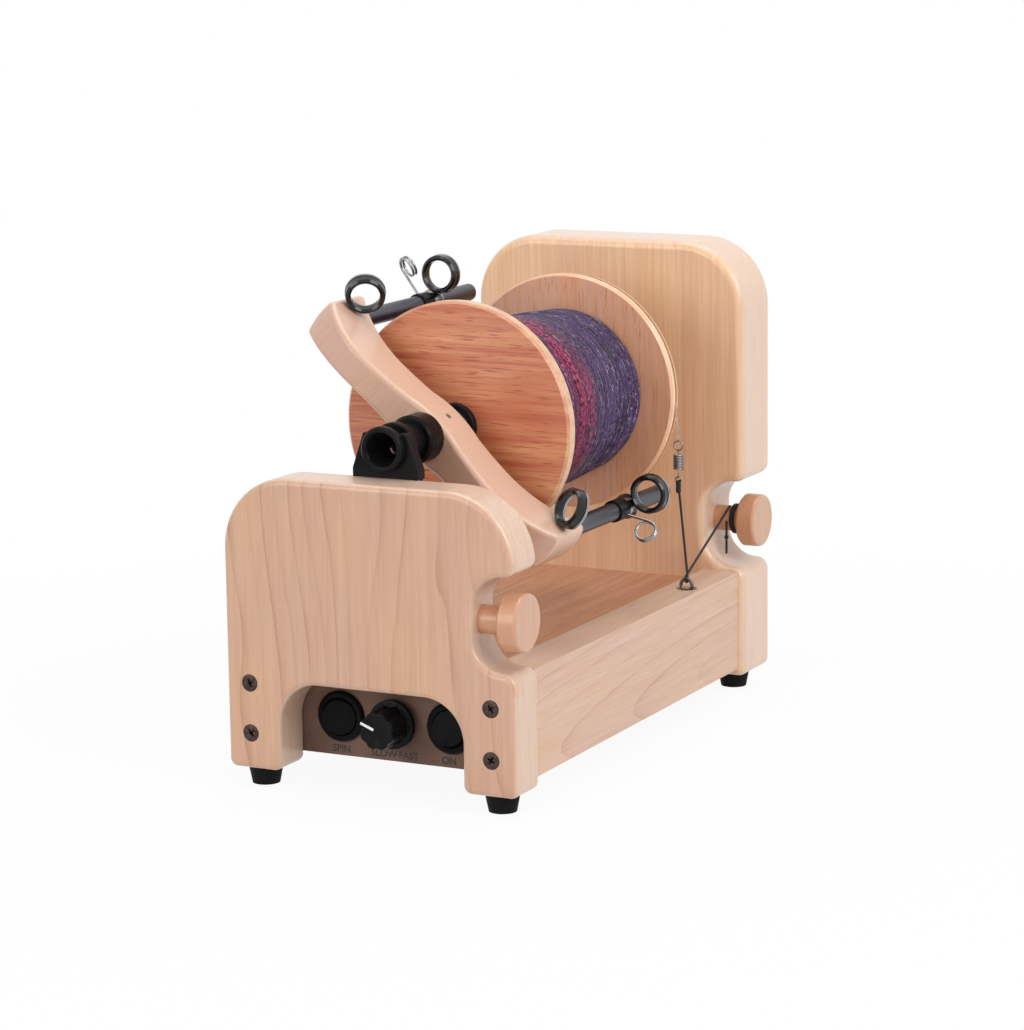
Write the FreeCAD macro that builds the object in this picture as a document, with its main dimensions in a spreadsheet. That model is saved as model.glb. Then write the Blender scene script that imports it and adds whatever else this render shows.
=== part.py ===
import FreeCAD, Part
import math
import os
import re
import Sketcher

# Electric yarn spinner: a flyer and bobbin carried between two upright wooden panels.
# Millimetres. While it is built, x = 0 is the middle of the panels, y = 0 the front face of
# the front panel and z = 0 the table. The flyer's pieces are built about the flyer's own axis.

SIZES = {
    # body
    "panel_width": 150.0,
    "corner_radius": 34.0,
    "bottom_corner_radius": 4.0,
    "front_height": 138.0,
    "front_thickness": 24.0,
    "front_edge_round": 3.0,
    "rear_height": 223.0,
    "rear_thickness": 36.0,
    "rear_edge_round": 4.5,
    "deck_length": 235.0,
    "arch_width": 95.2,
    "arch_height": 42.5,
    "arch_radius": 20.0,
    "notch_depth": 21.7,
    "notch_height": 43.8,
    "notch_centre_height": 79.1,
    "notch_inner_radius": 15.5,
    "notch_mouth_radius": 6.0,
    "rail_inset": 2.5,
    "rail_thickness": 20.0,
    "rail_height": 50.4,
    "rail_lift": 4.6,
    "groove_depth": 4.0,
    "deck_thickness": 10.0,
    "deck_drop": 4.6,
    "base_thickness": 4.0,
    "control_thickness": 3.0,
    # feet and fasteners
    "foot_height": 8.8,
    "foot_top_radius": 8.25,
    "foot_bottom_radius": 6.5,
    "foot_side_gap": 13.0,
    "foot_recess_radius": 3.6,
    "foot_recess_depth": 4.6,
    "foot_screw_radius": 1.6,
    "foot_screw_length": 18.0,
    "rail_screw_head_radius": 4.25,
    "rail_screw_radius": 2.1,
    "rail_screw_length": 60.0,
    "rail_screw_low": 17.2,
    "rail_screw_high": 41.0,
    "small_screw_head_radius": 2.6,
    "small_screw_radius": 1.25,
    "small_screw_length": 9.0,
    # flyer axis, cradle and orifice
    "axis_height": 151.6,
    "flyer_angle": 41.6,
    "running_gap": 0.05,
    "cradle_front": 20.4,
    "cradle_thickness": 6.6,
    "cradle_half_width": 16.8,
    "cradle_top_half_width": 11.0,
    "cradle_step": 4.1,
    "cradle_rise": 6.9,
    "cradle_mouth": 12.4,
    "cradle_tongue": 29.0,
    "orifice_front": 16.5,
    "orifice_rim_radius": 10.6,
    "orifice_neck_radius": 7.5,
    "orifice_bore_radius": 5.4,
    "orifice_mouth_radius": 7.6,
    "orifice_lip": 1.3,
    "orifice_mouth_depth": 8.0,
    "orifice_length": 29.5,
    "yarn_exit_radius": 4.0,
    "yarn_exit_place": 38.0,
    "hub_radius": 11.6,
    "hub_length": 12.4,
    "hub_neck_radius": 8.1,
    "hub_ring_radius": 10.8,
    "hub_ring_length": 3.6,
    "hub_front": 28.2,
    # flyer bar and rods
    "bar_front": 56.6,
    "bar_back": 80.5,
    "bar_half_length": 80.0,
    "bar_bow": 3.3,
    "bar_front_sweep": 10.5,
    "bar_back_sweep": 18.0,
    "bar_hub_half_width": 11.3,
    "bar_waist_half_width": 7.9,
    "bar_tip_half_width": 10.8,
    "bar_edge_round": 2.6,
    "rod_circle": 71.5,
    "rod_radius": 4.35,
    "rod_start": 76.0,
    "rod_rear_gap": 50.8,
    "spindle_radius": 4.75,
    "shoulder_radius": 8.0,
    "grub_screw_radius": 1.6,
    # guide rings
    "ring_outer_radius": 9.4,
    "ring_hole_radius": 6.9,
    "ring_thickness": 4.4,
    "ring_frame_thickness": 1.3,
    "fixed_ring_rise": 20.0,
    "fixed_ring_place": 76.0,
    "fixed_ring_reach": 70.6,
    "fixed_ring_tilt": 37.0,
    "fixed_stem_radius": 1.4,
    "fixed_stem_depth": 4.0,
    "upper_slider_front": 152.7,
    "lower_slider_front": 148.7,
    "sleeve_radius": 5.4,
    "sleeve_length": 9.5,
    "clamp_length": 6.0,
    "slider_ring_out": 5.0,
    "slider_ring_rise": 14.2,
    "pigtail_wire_radius": 0.65,
    "pigtail_coil_radius": 4.9,
    "pigtail_reach": 17.4,
    "upper_pigtail_rise": 8.1,
    "lower_pigtail_rise": 4.6,
    "pigtail_place": 6.0,
    "pigtail_lean": 40.0,
    # bobbin
    "flange_radius": 59.0,
    "flange_rim_round": 1.2,
    "front_flange_front": 90.6,
    "front_flange_thickness": 7.5,
    "bobbin_rear_gap": 51.1,
    "rear_flange_thickness": 7.2,
    "core_radius": 14.0,
    "bush_radius": 9.9,
    "bush_collar_radius": 10.9,
    "bush_collar_length": 3.0,
    "bush_length": 16.0,
    "yarn_radius": 44.0,
    "yarn_front_swell": 1.5,
    "yarn_rear_taper": 2.0,
    "soft_gap": 0.3,
    # drive behind the rear panel
    "web_thickness": 18.0,
    "pocket_top_radius": 41.0,
    "pocket_bottom_radius": 13.0,
    "cover_lap": 6.5,
    "cover_thickness": 4.0,
    "bearing_radius": 13.0,
    "bearing_width": 8.0,
    "shaft_radius": 5.0,
    "drive_hub_radius": 15.0,
    "hub_socket_depth": 17.5,
    "pulley_gap": 3.5,
    "pulley_width": 8.0,
    "drive_pulley_radius": 35.0,
    "motor_pulley_radius": 8.0,
    "belt_thickness": 1.6,
    "belt_width": 5.4,
    "belt_gap": 0.25,
    "motor_radius": 14.8,
    "motor_length": 48.0,
    "motor_gap": 0.8,
    "motor_shaft_radius": 2.5,
    "motor_screw_spacing": 20.0,
    "motor_screw_radius": 1.5,
    "motor_screw_head_radius": 2.7,
    "board_width": 62.0,
    "board_length": 84.0,
    "board_lift": 4.6,
    "board_thickness": 1.6,
    "board_start": 34.0,
    "board_post_radius": 2.2,
    "board_post_inset": 4.0,
    "sink_inset": 4.0,
    "sink_thickness": 10.0,
    "sink_start": 20.0,
    "sink_length": 30.0,
    "sink_height": 16.0,
    "capacitor_radius": 5.0,
    "capacitor_height": 17.0,
    "capacitor_inset": 14.0,
    "capacitor_start": 24.0,
    "inlet_radius": 5.5,
    "inlet_lip": 2.0,
    "inlet_wall": 2.3,
    "inlet_pin_radius": 1.0,
    "inlet_socket_depth": 9.0,
    "inlet_tail": 8.0,
    "inlet_recess_radius": 9.0,
    "inlet_recess_depth": 20.0,
    "inlet_inset": 10.5,
    # controls
    "control_height": 23.4,
    "direction_switch_x": -27.5,
    "speed_knob_x": 1.5,
    "power_switch_x": 30.0,
    "switch_bezel_radius": 12.1,
    "switch_bezel_thickness": 2.2,
    "switch_body_radius": 10.2,
    "switch_body_length": 18.0,
    "rocker_radius": 8.9,
    "rocker_thickness": 7.0,
    "rocker_pin_radius": 1.0,
    "rocker_gap": 0.25,
    "rocker_tilt": 8.0,
    "knob_skirt_radius": 11.6,
    "knob_cap_radius": 8.9,
    "knob_front": 4.2,
    "knob_skirt_front": 17.6,
    "knob_back": 20.6,
    "dial_nut_width": 2.2,
    "dial_nut_thickness": 2.0,
    "dial_body_length": 8.0,
    "knob_wall": 4.0,
    "dial_shaft_radius": 3.0,
    "dial_bushing_radius": 3.6,
    "dial_body_radius": 8.0,
    # tension knobs and brake
    "peg_radius": 6.5,
    "peg_depth": 17.0,
    "knob_radius": 13.4,
    "knob_thickness": 10.0,
    "rear_knob_overhang": 3.3,
    "front_knob_overhang": 0.9,
    "brake_groove_place": 4.1,
    "brake_groove_depth": 1.6,
    "brake_groove_width": 2.4,
    "line_radius": 0.5,
    "spring_gap": 1.9,
    "spring_centre": 118.7,
    "spring_radius": 2.7,
    "spring_wire_radius": 0.4,
    "spring_length": 7.4,
    "cord_radius": 0.6,
    "eye_inset": 8.2,
    "eye_wire_radius": 0.9,
    "eye_ring_radius": 3.0,
    "eye_recess_radius": 5.2,
    "eye_recess_depth": 2.5,
    "eye_recess_gap": 0.4,
    "eye_shank_length": 9.0,
    "wrap_inset": 13.0,
    "wrap_length": 3.6,
    "wrap_thickness": 1.3,
    "tail_drop": 17.0,
    "tail_knot_drop": 8.4,
}

# Places that follow from the sizes.
PLACES = {
    "rear_face": "front_thickness + deck_length",
    "back_face": "rear_face + rear_thickness",
    "rear_flange_front": "rear_face - bobbin_rear_gap",
    "rod_end": "rear_face - rod_rear_gap",
    "brake_place": "rear_flange_front + brake_groove_place",
    "half_width": "panel_width / 2",
    "front_top": "foot_height + front_height",
    "rail_outer": "half_width - rail_inset",
    "rail_inner": "rail_outer - rail_thickness",
    "rail_middle": "rail_outer - rail_thickness / 2",
    "inlet_offset": "rail_inner - inlet_inset",
    "eye_x": "rail_outer - eye_inset",
    "wrap_start": "half_width - wrap_inset",
    "rear_knob_reach": "half_width + rear_knob_overhang",
    "front_knob_reach": "half_width + front_knob_overhang",
    "rail_bottom": "foot_height + rail_lift",
    "rail_top": "rail_bottom + rail_height",
    "deck_top": "rail_top - deck_drop",
    "deck_bottom": "deck_top - deck_thickness",
    "base_top": "rail_bottom + base_thickness",
    "control_back": "front_thickness + control_thickness",
    "control_z": "foot_height + control_height",
    "axis_z": "foot_height + axis_height",
    "notch_wall": "half_width - notch_depth",
    "notch_z": "foot_height + notch_centre_height",
    "front_mid": "front_thickness / 2",
    "rear_mid": "rear_face + rear_thickness / 2",
    "foot_x": "half_width - foot_side_gap",
    "cradle_back": "cradle_front + cradle_thickness",
    "neck_bore": "orifice_neck_radius + running_gap",
    "hub_back": "bar_front",
    "rear_flange_back": "rear_flange_front + rear_flange_thickness",
    "core_front": "front_flange_front + front_flange_thickness",
    "bush_bore": "spindle_radius + running_gap",
    "bush_front": "front_flange_front - bush_collar_length",
    "bush_rear": "rear_flange_back + bush_collar_length",
    "drive_hub_front": "bush_rear + 0.8",
    "drive_hub_back": "rear_face - 0.4",
    "hub_socket": "drive_hub_back - hub_socket_depth",
    "web_back": "rear_face + web_thickness",
    "pulley_front": "web_back + pulley_gap",
    "pulley_back": "pulley_front + pulley_width",
    "pulley_mid": "pulley_front + pulley_width / 2",
    "motor_z": "base_top + motor_gap + motor_radius",
    "peg_bore": "peg_radius + running_gap",
    "peg_end": "notch_wall - peg_depth",
    "wrap_radius": "peg_radius + wrap_thickness",
    "brake_radius": "flange_radius - brake_groove_depth + soft_gap + line_radius",
    "eye_z": "rail_top - eye_recess_depth + eye_recess_gap + eye_ring_radius + eye_wire_radius",
    "spring_x": "brake_radius + spring_gap",
    "spring_z": "foot_height + spring_centre",
    "bar_mid": "(bar_front + bar_back) / 2",
    "switch_front": "front_thickness - switch_bezel_thickness",
    "rocker_mid": "front_thickness - switch_bezel_thickness + 2.0",
    "mid_shift": "-rear_knob_overhang / 2",
    "depth_shift": "-(back_face + min(0; front_mid - knob_radius)) / 2",
}

AXES = {
    "X": FreeCAD.Vector(1, 0, 0),
    "Y": FreeCAD.Vector(0, 1, 0),
    "Z": FreeCAD.Vector(0, 0, 1),
}
TOUCH = 0.01
SPAN = 400

document = FreeCAD.newDocument("yarn_spinner")
sizes = document.addObject("Spreadsheet::Sheet", "Sizes")
for row, (alias, size) in enumerate(SIZES.items(), start=1):
    sizes.set(f"A{row}", alias)
    sizes.set(f"B{row}", str(size))
    sizes.setAlias(f"B{row}", alias)
document.recompute()
pieces = {}
spots = {}


def formula(text):
    """Spell a formula of sizes and places out as an expression on the sheet."""
    def spell(match):
        word = match.group(0)
        if word in PLACES:
            return "(" + formula(PLACES[word]) + ")"
        return "Sizes." + word if word in SIZES else word
    return re.sub(r"[a-z_]+", spell, str(text))


def number(text):
    """Work a formula out."""
    value = sizes.evalExpression(formula(text))
    return float(getattr(value, "Value", value))


def vector(x, y, z):
    return FreeCAD.Vector(number(x), number(y), number(z))


def place(thing, x=0, y=0, z=0):
    """Bind a thing's base to formulas."""
    spots[thing.Name] = (x, y, z)
    for axis, text in zip("xyz", (x, y, z)):
        thing.setExpression(f"Placement.Base.{axis}", formula(text))
    return thing


def block(name, x, y, z):
    """A box between a low and a high place along each axis."""
    thing = document.addObject("Part::Box", name)
    for side, (low, high) in zip(("Length", "Width", "Height"), (x, y, z)):
        thing.setExpression(side, formula(f"{high} - ({low})"))
    return place(thing, x[0], y[0], z[0])


def rod(name, axis, radius, low, high, x=0, y=0, z=0):
    """A cylinder along an axis, from its low to its high place."""
    thing = document.addObject("Part::Cylinder", name)
    thing.setExpression("Radius", formula(radius))
    thing.setExpression("Height", formula(f"{high} - ({low})"))
    thing.Placement.Rotation = FreeCAD.Rotation(AXES["Z"], AXES[axis])
    base = {"X": x, "Y": y, "Z": z, axis: low}
    return place(thing, base["X"], base["Y"], base["Z"])


def joined(name, *things):
    thing = document.addObject("Part::MultiFuse", name)
    thing.Shapes = list(things)
    return thing


def cut(name, base, *tools):
    """Cut one or more tools out of a base."""
    thing = document.addObject("Part::Cut", name)
    thing.Base = base
    thing.Tool = tools[0] if len(tools) == 1 else joined(name + "_tools", *tools)
    return thing


def group(name, things):
    """Like pieces that share one node, as separate solids."""
    thing = document.addObject("Part::Compound", name)
    thing.Links = list(things)
    return thing


def outline(sketch, corners):
    """Draw a closed polygon and bind each corner to its pair of formulas."""
    points = [FreeCAD.Vector(number(x), number(y), 0) for x, y in corners]
    count = len(points)
    for index, point in enumerate(points):
        sketch.addGeometry(Part.LineSegment(point, points[(index + 1) % count]), False)
    for index in range(count):
        sketch.addConstraint(Sketcher.Constraint("Coincident", index, 2, (index + 1) % count, 1))
    for index, pair in enumerate(corners):
        for kind, text in zip(("DistanceX", "DistanceY"), pair):
            slot = sketch.addConstraint(Sketcher.Constraint(kind, -1, 1, index, 1, number(text)))
            sketch.setExpression(f"Constraints[{slot}]", formula(text))


def sketch_on(body, role, name):
    """A sketch on one of the body's own origin planes."""
    plane = [part for part in body.Origin.OriginFeatures if part.Role == role][0]
    sketch = body.newObject("Sketcher::SketchObject", name)
    sketch.AttachmentSupport = [(plane, "")]
    sketch.MapMode = "FlatFace"
    return sketch


def turned(name, axis, profile, x=0, y=0, z=0):
    """Turn a closed profile of (radius, place along the axis) about an axis."""
    role, spin = {"X": ("XY_Plane", "H_Axis"), "Y": ("XY_Plane", "V_Axis"), "Z": ("XZ_Plane", "V_Axis")}[axis]
    body = document.addObject("PartDesign::Body", name)
    sketch = sketch_on(body, role, name + "_profile")
    outline(sketch, [(along, radius) if axis == "X" else (radius, along) for radius, along in profile])
    turning = body.newObject("PartDesign::Revolution", name + "_turning")
    turning.Profile = sketch
    turning.ReferenceAxis = (sketch, [spin])
    turning.Angle = 360
    return place(body, x, y, z)


def board(name, corners, thickness):
    """Pad an outline in the x-z plane towards +y."""
    body = document.addObject("PartDesign::Body", name)
    sketch = sketch_on(body, "XZ_Plane", name + "_outline")
    outline(sketch, corners)
    pad = body.newObject("PartDesign::Pad", name + "_pad")
    pad.Profile = sketch
    pad.Reversed = True
    pad.setExpression("Length", formula(thickness))
    return body


def pocket(body, name, corners):
    """Cut an outline in the x-z plane right through a board."""
    sketch = sketch_on(body, "XZ_Plane", name + "_outline")
    outline(sketch, corners)
    hole = body.newObject("PartDesign::Pocket", name)
    hole.Profile = sketch
    hole.Type = "ThroughAll"
    return hole


def rectangle(left, right, low, high):
    return [(left, low), (right, low), (right, high), (left, high)]


def rounded(body, name, radius, test):
    """Round the edges of a body's tip that pass a test."""
    document.recompute()
    base = body.Tip
    names = [f"Edge{index}" for index, edge in enumerate(base.Shape.Edges, start=1) if test(edge)]
    fillet = body.newObject("PartDesign::Fillet", name)
    fillet.Base = (base, names)
    fillet.setExpression("Radius", formula(radius))
    return fillet


def along_y(edge, spots):
    """Whether an edge runs along y at one of some (x, z) spots."""
    box = edge.BoundBox
    thin = box.XLength < TOUCH and box.ZLength < TOUCH and box.YLength > TOUCH
    return thin and any(abs(box.XMin - x) < TOUCH and abs(box.ZMin - z) < TOUCH for x, z in spots)


def solid_of(name, shape):
    """A Part::Feature for a shape that no primitive or body gives."""
    thing = document.addObject("Part::Feature", name)
    thing.Shape = shape
    return thing


def screw(name, axis, head, sign, head_radius, radius, length, x=0, y=0, z=0):
    """A countersunk screw whose head's face is at a place on its axis."""
    cone_end = f"{head} + {sign} * ({head_radius} - {radius})"
    tip = f"{head} + {sign} * ({length})"
    profile = [(0, head), (head_radius, head), (radius, cone_end), (radius, tip), (0, tip)]
    return turned(name, axis, profile, x, y, z)


def keep(name, thing, flyer=False):
    """Register a sub-part, which is built about the machine or about the flyer's axis."""
    thing.Label = name
    pieces[name] = (thing, flyer)


def seat(thing, flyer):
    """Move a finished sub-part so that the middle of the machine's underside is the origin."""
    x, y, z = spots.get(thing.Name, (0, 0, 0))
    if flyer:
        turn = FreeCAD.Rotation(AXES["Y"], number("flyer_angle"))
        thing.Placement.Rotation = turn.multiply(thing.Placement.Rotation)
        x, z = (f"({x}) * cos(flyer_angle) + ({z}) * sin(flyer_angle)",
                f"axis_z + ({z}) * cos(flyer_angle) - ({x}) * sin(flyer_angle)")
    place(thing, f"mid_shift + {x}", f"depth_shift + {y}", z)


# ---------------------------------------------------------------- wooden body

def panel(name, height, thickness, edge_round, arch):
    """An upright board with round shoulders and the side notch for its tension knob."""
    body = board(name, rectangle("-half_width", "half_width", 0, height), thickness)
    low = "notch_centre_height - notch_height / 2"
    high = "notch_centre_height + notch_height / 2"
    side, inner, top = number("half_width"), number("notch_wall"), number(height)
    notch_ends = (number(low), number(high))
    rounded(body, name + "_shoulders", "corner_radius",
            lambda edge: along_y(edge, [(-side, top), (side, top)]))
    pocket(body, name + "_notch", rectangle("notch_wall", "half_width + 10", low, high))
    bottom_spots = [(-side, 0), (side, 0)]
    if arch:
        pocket(body, name + "_arch", rectangle("-arch_width / 2", "arch_width / 2", -10, "arch_height"))
        reach = number("arch_width / 2")
        arch_top = number("arch_height")
        bottom_spots += [(-reach, 0), (reach, 0)]
        rounded(body, name + "_arch_round", "arch_radius",
                lambda edge: along_y(edge, [(-reach, arch_top), (reach, arch_top)]))
    rounded(body, name + "_notch_round", "notch_inner_radius",
            lambda edge: along_y(edge, [(inner, end) for end in notch_ends]))
    into_shoulder = f"max(0; {high} + corner_radius - {height})"
    upper_inset = f"(corner_radius - sqrt(corner_radius ^ 2 - {into_shoulder} ^ 2))"
    mouth_spots = [(side, notch_ends[0]), (side - number(upper_inset), notch_ends[1])]
    rounded(body, name + "_mouth_round",
            f"min(notch_mouth_radius; notch_depth - {upper_inset} - notch_inner_radius - 0.1)",
            lambda edge: along_y(edge, mouth_spots))
    rounded(body, name + "_foot_round", "bottom_corner_radius", lambda edge: along_y(edge, bottom_spots))
    depth = number(thickness)
    rounded(body, name + "_edges", edge_round,
            lambda edge: (edge.BoundBox.YLength < TOUCH
                           and min(edge.BoundBox.YMin, depth - edge.BoundBox.YMin) < TOUCH))
    return body


def screw_spots():
    """Where the rail screws go: across and up."""
    return [(side, level) for side in ("-rail_middle", "rail_middle")
            for level in ("foot_height + rail_screw_low", "foot_height + rail_screw_high")]


def rail_screws(prefix, head, sign):
    return [screw(f"{prefix}_{index}", "Y", head, sign, "rail_screw_head_radius", "rail_screw_radius",
                  "rail_screw_length", x=x, z=z)
            for index, (x, z) in enumerate(screw_spots(), start=1)]


def foot_screws(prefix, y):
    head = "foot_recess_depth - 2"
    made = []
    for index, x in enumerate(("-foot_x", "foot_x"), start=1):
        profile = [(0, head), ("foot_screw_radius * 2", head),
                   ("foot_screw_radius * 2", "foot_recess_depth"), ("foot_screw_radius", "foot_recess_depth"),
                   ("foot_screw_radius", "foot_screw_length"), (0, "foot_screw_length")]
        made.append(turned(f"{prefix}_{index}", "Z", profile, x=x, y=y))
    return made


def bracket_screws(prefix):
    return [screw(f"{prefix}_{index}", "Y", "cradle_back", -1, "small_screw_head_radius + 1",
                  "small_screw_radius + 0.5", "cradle_thickness + 7", z=z)
            for index, z in enumerate(("front_top - 9", "front_top - 22"), start=1)]


def racetrack(low_radius, high_radius, low_y, high_y):
    """A solid between two round ends, one about the flyer's axis and one about the motor's."""
    small, large = number(low_radius), number(high_radius)
    low_z, high_z = number("motor_z"), number("axis_z")
    lean = math.asin((large - small) / (high_z - low_z))
    cosine, sine = math.cos(lean), math.sin(lean)

    def spot(radius, centre, side):
        return FreeCAD.Vector(side * radius * cosine, number(low_y), centre - radius * sine)

    top = Part.Arc(spot(large, high_z, 1), vector(0, low_y, high_z + large), spot(large, high_z, -1))
    bottom = Part.Arc(spot(small, low_z, -1), vector(0, low_y, low_z - small), spot(small, low_z, 1))
    left = Part.LineSegment(spot(large, high_z, -1), spot(small, low_z, -1))
    right = Part.LineSegment(spot(small, low_z, 1), spot(large, high_z, 1))
    wire = Part.Wire([edge.toShape() for edge in (top, left, bottom, right)])
    return Part.Face(wire).extrude(vector(0, f"{high_y} - ({low_y})", 0))


def cover_spots():
    """Where the cover's screws go, in the middle of its lap."""
    reach = "pocket_top_radius + cover_lap / 2"
    drop = "pocket_bottom_radius + cover_lap / 2"
    return [(0, f"axis_z + {reach}"), (reach, "axis_z"), (f"-({reach})", "axis_z"),
            (0, f"motor_z - ({drop})")]


def cover_screws(prefix):
    return [screw(f"{prefix}_{index}", "Y", "back_face", -1, "small_screw_head_radius", "small_screw_radius",
                  "small_screw_length", x=x, z=z)
            for index, (x, z) in enumerate(cover_spots(), start=1)]


def wooden_body():
    front = place(panel("front_board", "front_height", "front_thickness", "front_edge_round", True),
                  0, 0, "foot_height")
    rear = place(panel("rear_board", "rear_height", "rear_thickness", "rear_edge_round", False),
                 0, "rear_face", "foot_height")
    peg_holes = [rod(name, "X", "peg_bore", "peg_end - 0.5", "half_width + 5", y=y, z="notch_z")
                 for name, y in (("front_peg_hole", "front_mid"), ("rear_peg_hole", "rear_mid"))]
    front_panel = cut("front_panel", front, peg_holes[0], *rail_screws("front_screw_hole", 0, 1),
                      *foot_screws("front_foot_hole", "front_mid"), *bracket_screws("bracket_hole"))
    keep("front_panel", front_panel)

    pocket_space = solid_of("drive_pocket", racetrack("pocket_bottom_radius", "pocket_top_radius",
                                                      "web_back", "back_face + 1"))
    lid_outline = ("pocket_bottom_radius + cover_lap", "pocket_top_radius + cover_lap")
    rebate = solid_of("cover_rebate", racetrack(*lid_outline,
                                                "back_face - cover_thickness", "back_face + 1"))
    bearing_hole = rod("bearing_hole", "Y", "bearing_radius", "rear_face - 1", "web_back + 1", z="axis_z")
    motor_hole = rod("motor_hole", "Y", "motor_shaft_radius + 2", "rear_face - 1", "web_back + 1",
                     z="motor_z")
    recess = rod("inlet_recess", "Y", "inlet_recess_radius", "back_face - inlet_recess_depth",
                 "back_face + 1", x="-inlet_offset", z="motor_z")
    inlet_hole = rod("inlet_hole", "Y", "inlet_radius", "rear_face - 1", "back_face",
                     x="-inlet_offset", z="motor_z")
    rear_panel = cut("rear_panel", rear, peg_holes[1], pocket_space, rebate, bearing_hole, motor_hole, recess,
                     inlet_hole, *rail_screws("rear_screw_hole", "back_face", -1),
                     *foot_screws("rear_foot_hole", "rear_mid"), *cover_screws("cover_hole"),
                     *motor_screws("motor_screw_hole"))
    keep("rear_panel", rear_panel)
    lid = solid_of("cover_blank", racetrack(*lid_outline,
                                            "back_face - cover_thickness", "back_face"))
    keep("rear_cover", cut("rear_cover", lid, *cover_screws("cover_lid_hole")))

    for side, name in ((-1, "rail_left"), (1, "rail_right")):
        low, high = sorted((f"{side} * rail_inner", f"{side} * rail_outer"), key=number)
        blank = block(name + "_blank", (low, high), ("front_thickness", "rear_face"),
                      ("rail_bottom", "rail_top"))
        reach = ("-(rail_inner + groove_depth)", "rail_inner + groove_depth")
        tools = [
            block(name + "_deck_groove", reach, ("front_thickness", "rear_face"),
                  ("deck_bottom", "deck_top")),
            block(name + "_base_groove", reach, ("front_thickness - 1", "rear_face + 1"),
                  ("rail_bottom - 1", "base_top")),
            block(name + "_control_rebate", reach, ("front_thickness - 1", "control_back"),
                  ("rail_bottom - 1", "deck_bottom + 5")),
            *rail_screws(name + "_front_hole", 0, 1),
            *rail_screws(name + "_rear_hole", "back_face", -1),
            eye(name + "_eye_hole", f"{side} * eye_x", True),
            rod(name + "_eye_recess", "Z", "eye_recess_radius", "rail_top - eye_recess_depth", "rail_top + 1",
                x=f"{side} * eye_x", y="brake_place"),
        ]
        keep(name, cut(name, blank, *tools))
    reach = ("-(rail_inner + groove_depth)", "rail_inner + groove_depth")
    deck = block("deck_blank", reach, ("front_thickness", "rear_face"), ("deck_bottom", "deck_top"))
    lip = block("deck_lip_cut", ("-panel_width", "panel_width"), ("front_thickness - 1", "control_back"),
                ("deck_bottom - 1", "deck_bottom + 5"))
    keep("deck_board", cut("deck_board", deck, lip))
    base = block("base_blank", reach, ("control_back", "rear_face"), ("rail_bottom", "base_top"))
    keep("base_plate", base)


def small_fittings():
    keep("rail_screws", group("rail_screws", rail_screws("front_rail_screw", 0, 1)
                              + rail_screws("rear_rail_screw", "back_face", -1)))
    keep("cover_screws", group("cover_screws", cover_screws("cover_screw")))
    keep("bracket_screws", group("bracket_screws", bracket_screws("bracket_screw")))
    feet = []
    spots_under = [(x, y) for x in ("-foot_x", "foot_x") for y in ("front_mid", "rear_mid")]
    for index, (x, y) in enumerate(spots_under):
        profile = [("foot_recess_radius", 0), ("foot_bottom_radius", 0), ("foot_top_radius", "foot_height"),
                   ("foot_screw_radius", "foot_height"), ("foot_screw_radius", "foot_recess_depth"),
                   ("foot_recess_radius", "foot_recess_depth")]
        feet.append(turned(f"foot_{index + 1}", "Z", profile, x=x, y=y))
    keep("rubber_feet", group("rubber_feet", feet))
    keep("foot_screws", group("foot_screws", foot_screws("front_foot_screw", "front_mid")
                              + foot_screws("rear_foot_screw", "rear_mid")))


# ---------------------------------------------------------------- bearing bracket and controls

def bearing_bracket():
    """The cradle that the orifice tube snaps into, with a tongue down the front panel's back."""
    corners = [("-cradle_half_width", "front_top"), ("cradle_half_width", "front_top"),
               ("cradle_half_width", "front_top + cradle_step"),
               ("cradle_top_half_width", "axis_z + cradle_rise"),
               ("-cradle_top_half_width", "axis_z + cradle_rise"),
               ("-cradle_half_width", "front_top + cradle_step")]
    plate = place(board("cradle_plate", corners, "cradle_thickness"), 0, "cradle_front", 0)
    tongue = block("cradle_tongue_block", ("-cradle_half_width + 1", "cradle_half_width - 1"),
                   ("front_thickness", "cradle_back"), ("front_top - cradle_tongue", "front_top + 1"))
    blank = joined("cradle_blank", plate, tongue)
    bore = rod("cradle_bore", "Y", "neck_bore", "cradle_front - 1", "cradle_back + 1", z="axis_z")
    mouth = block("cradle_mouth_cut", ("-cradle_mouth / 2", "cradle_mouth / 2"),
                  ("cradle_front - 1", "cradle_back + 1"), ("axis_z", "axis_z + cradle_rise + 5"))
    keep("bearing_bracket", cut("bearing_bracket", blank, bore, mouth, *bracket_screws("cradle_screw_hole")))


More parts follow.
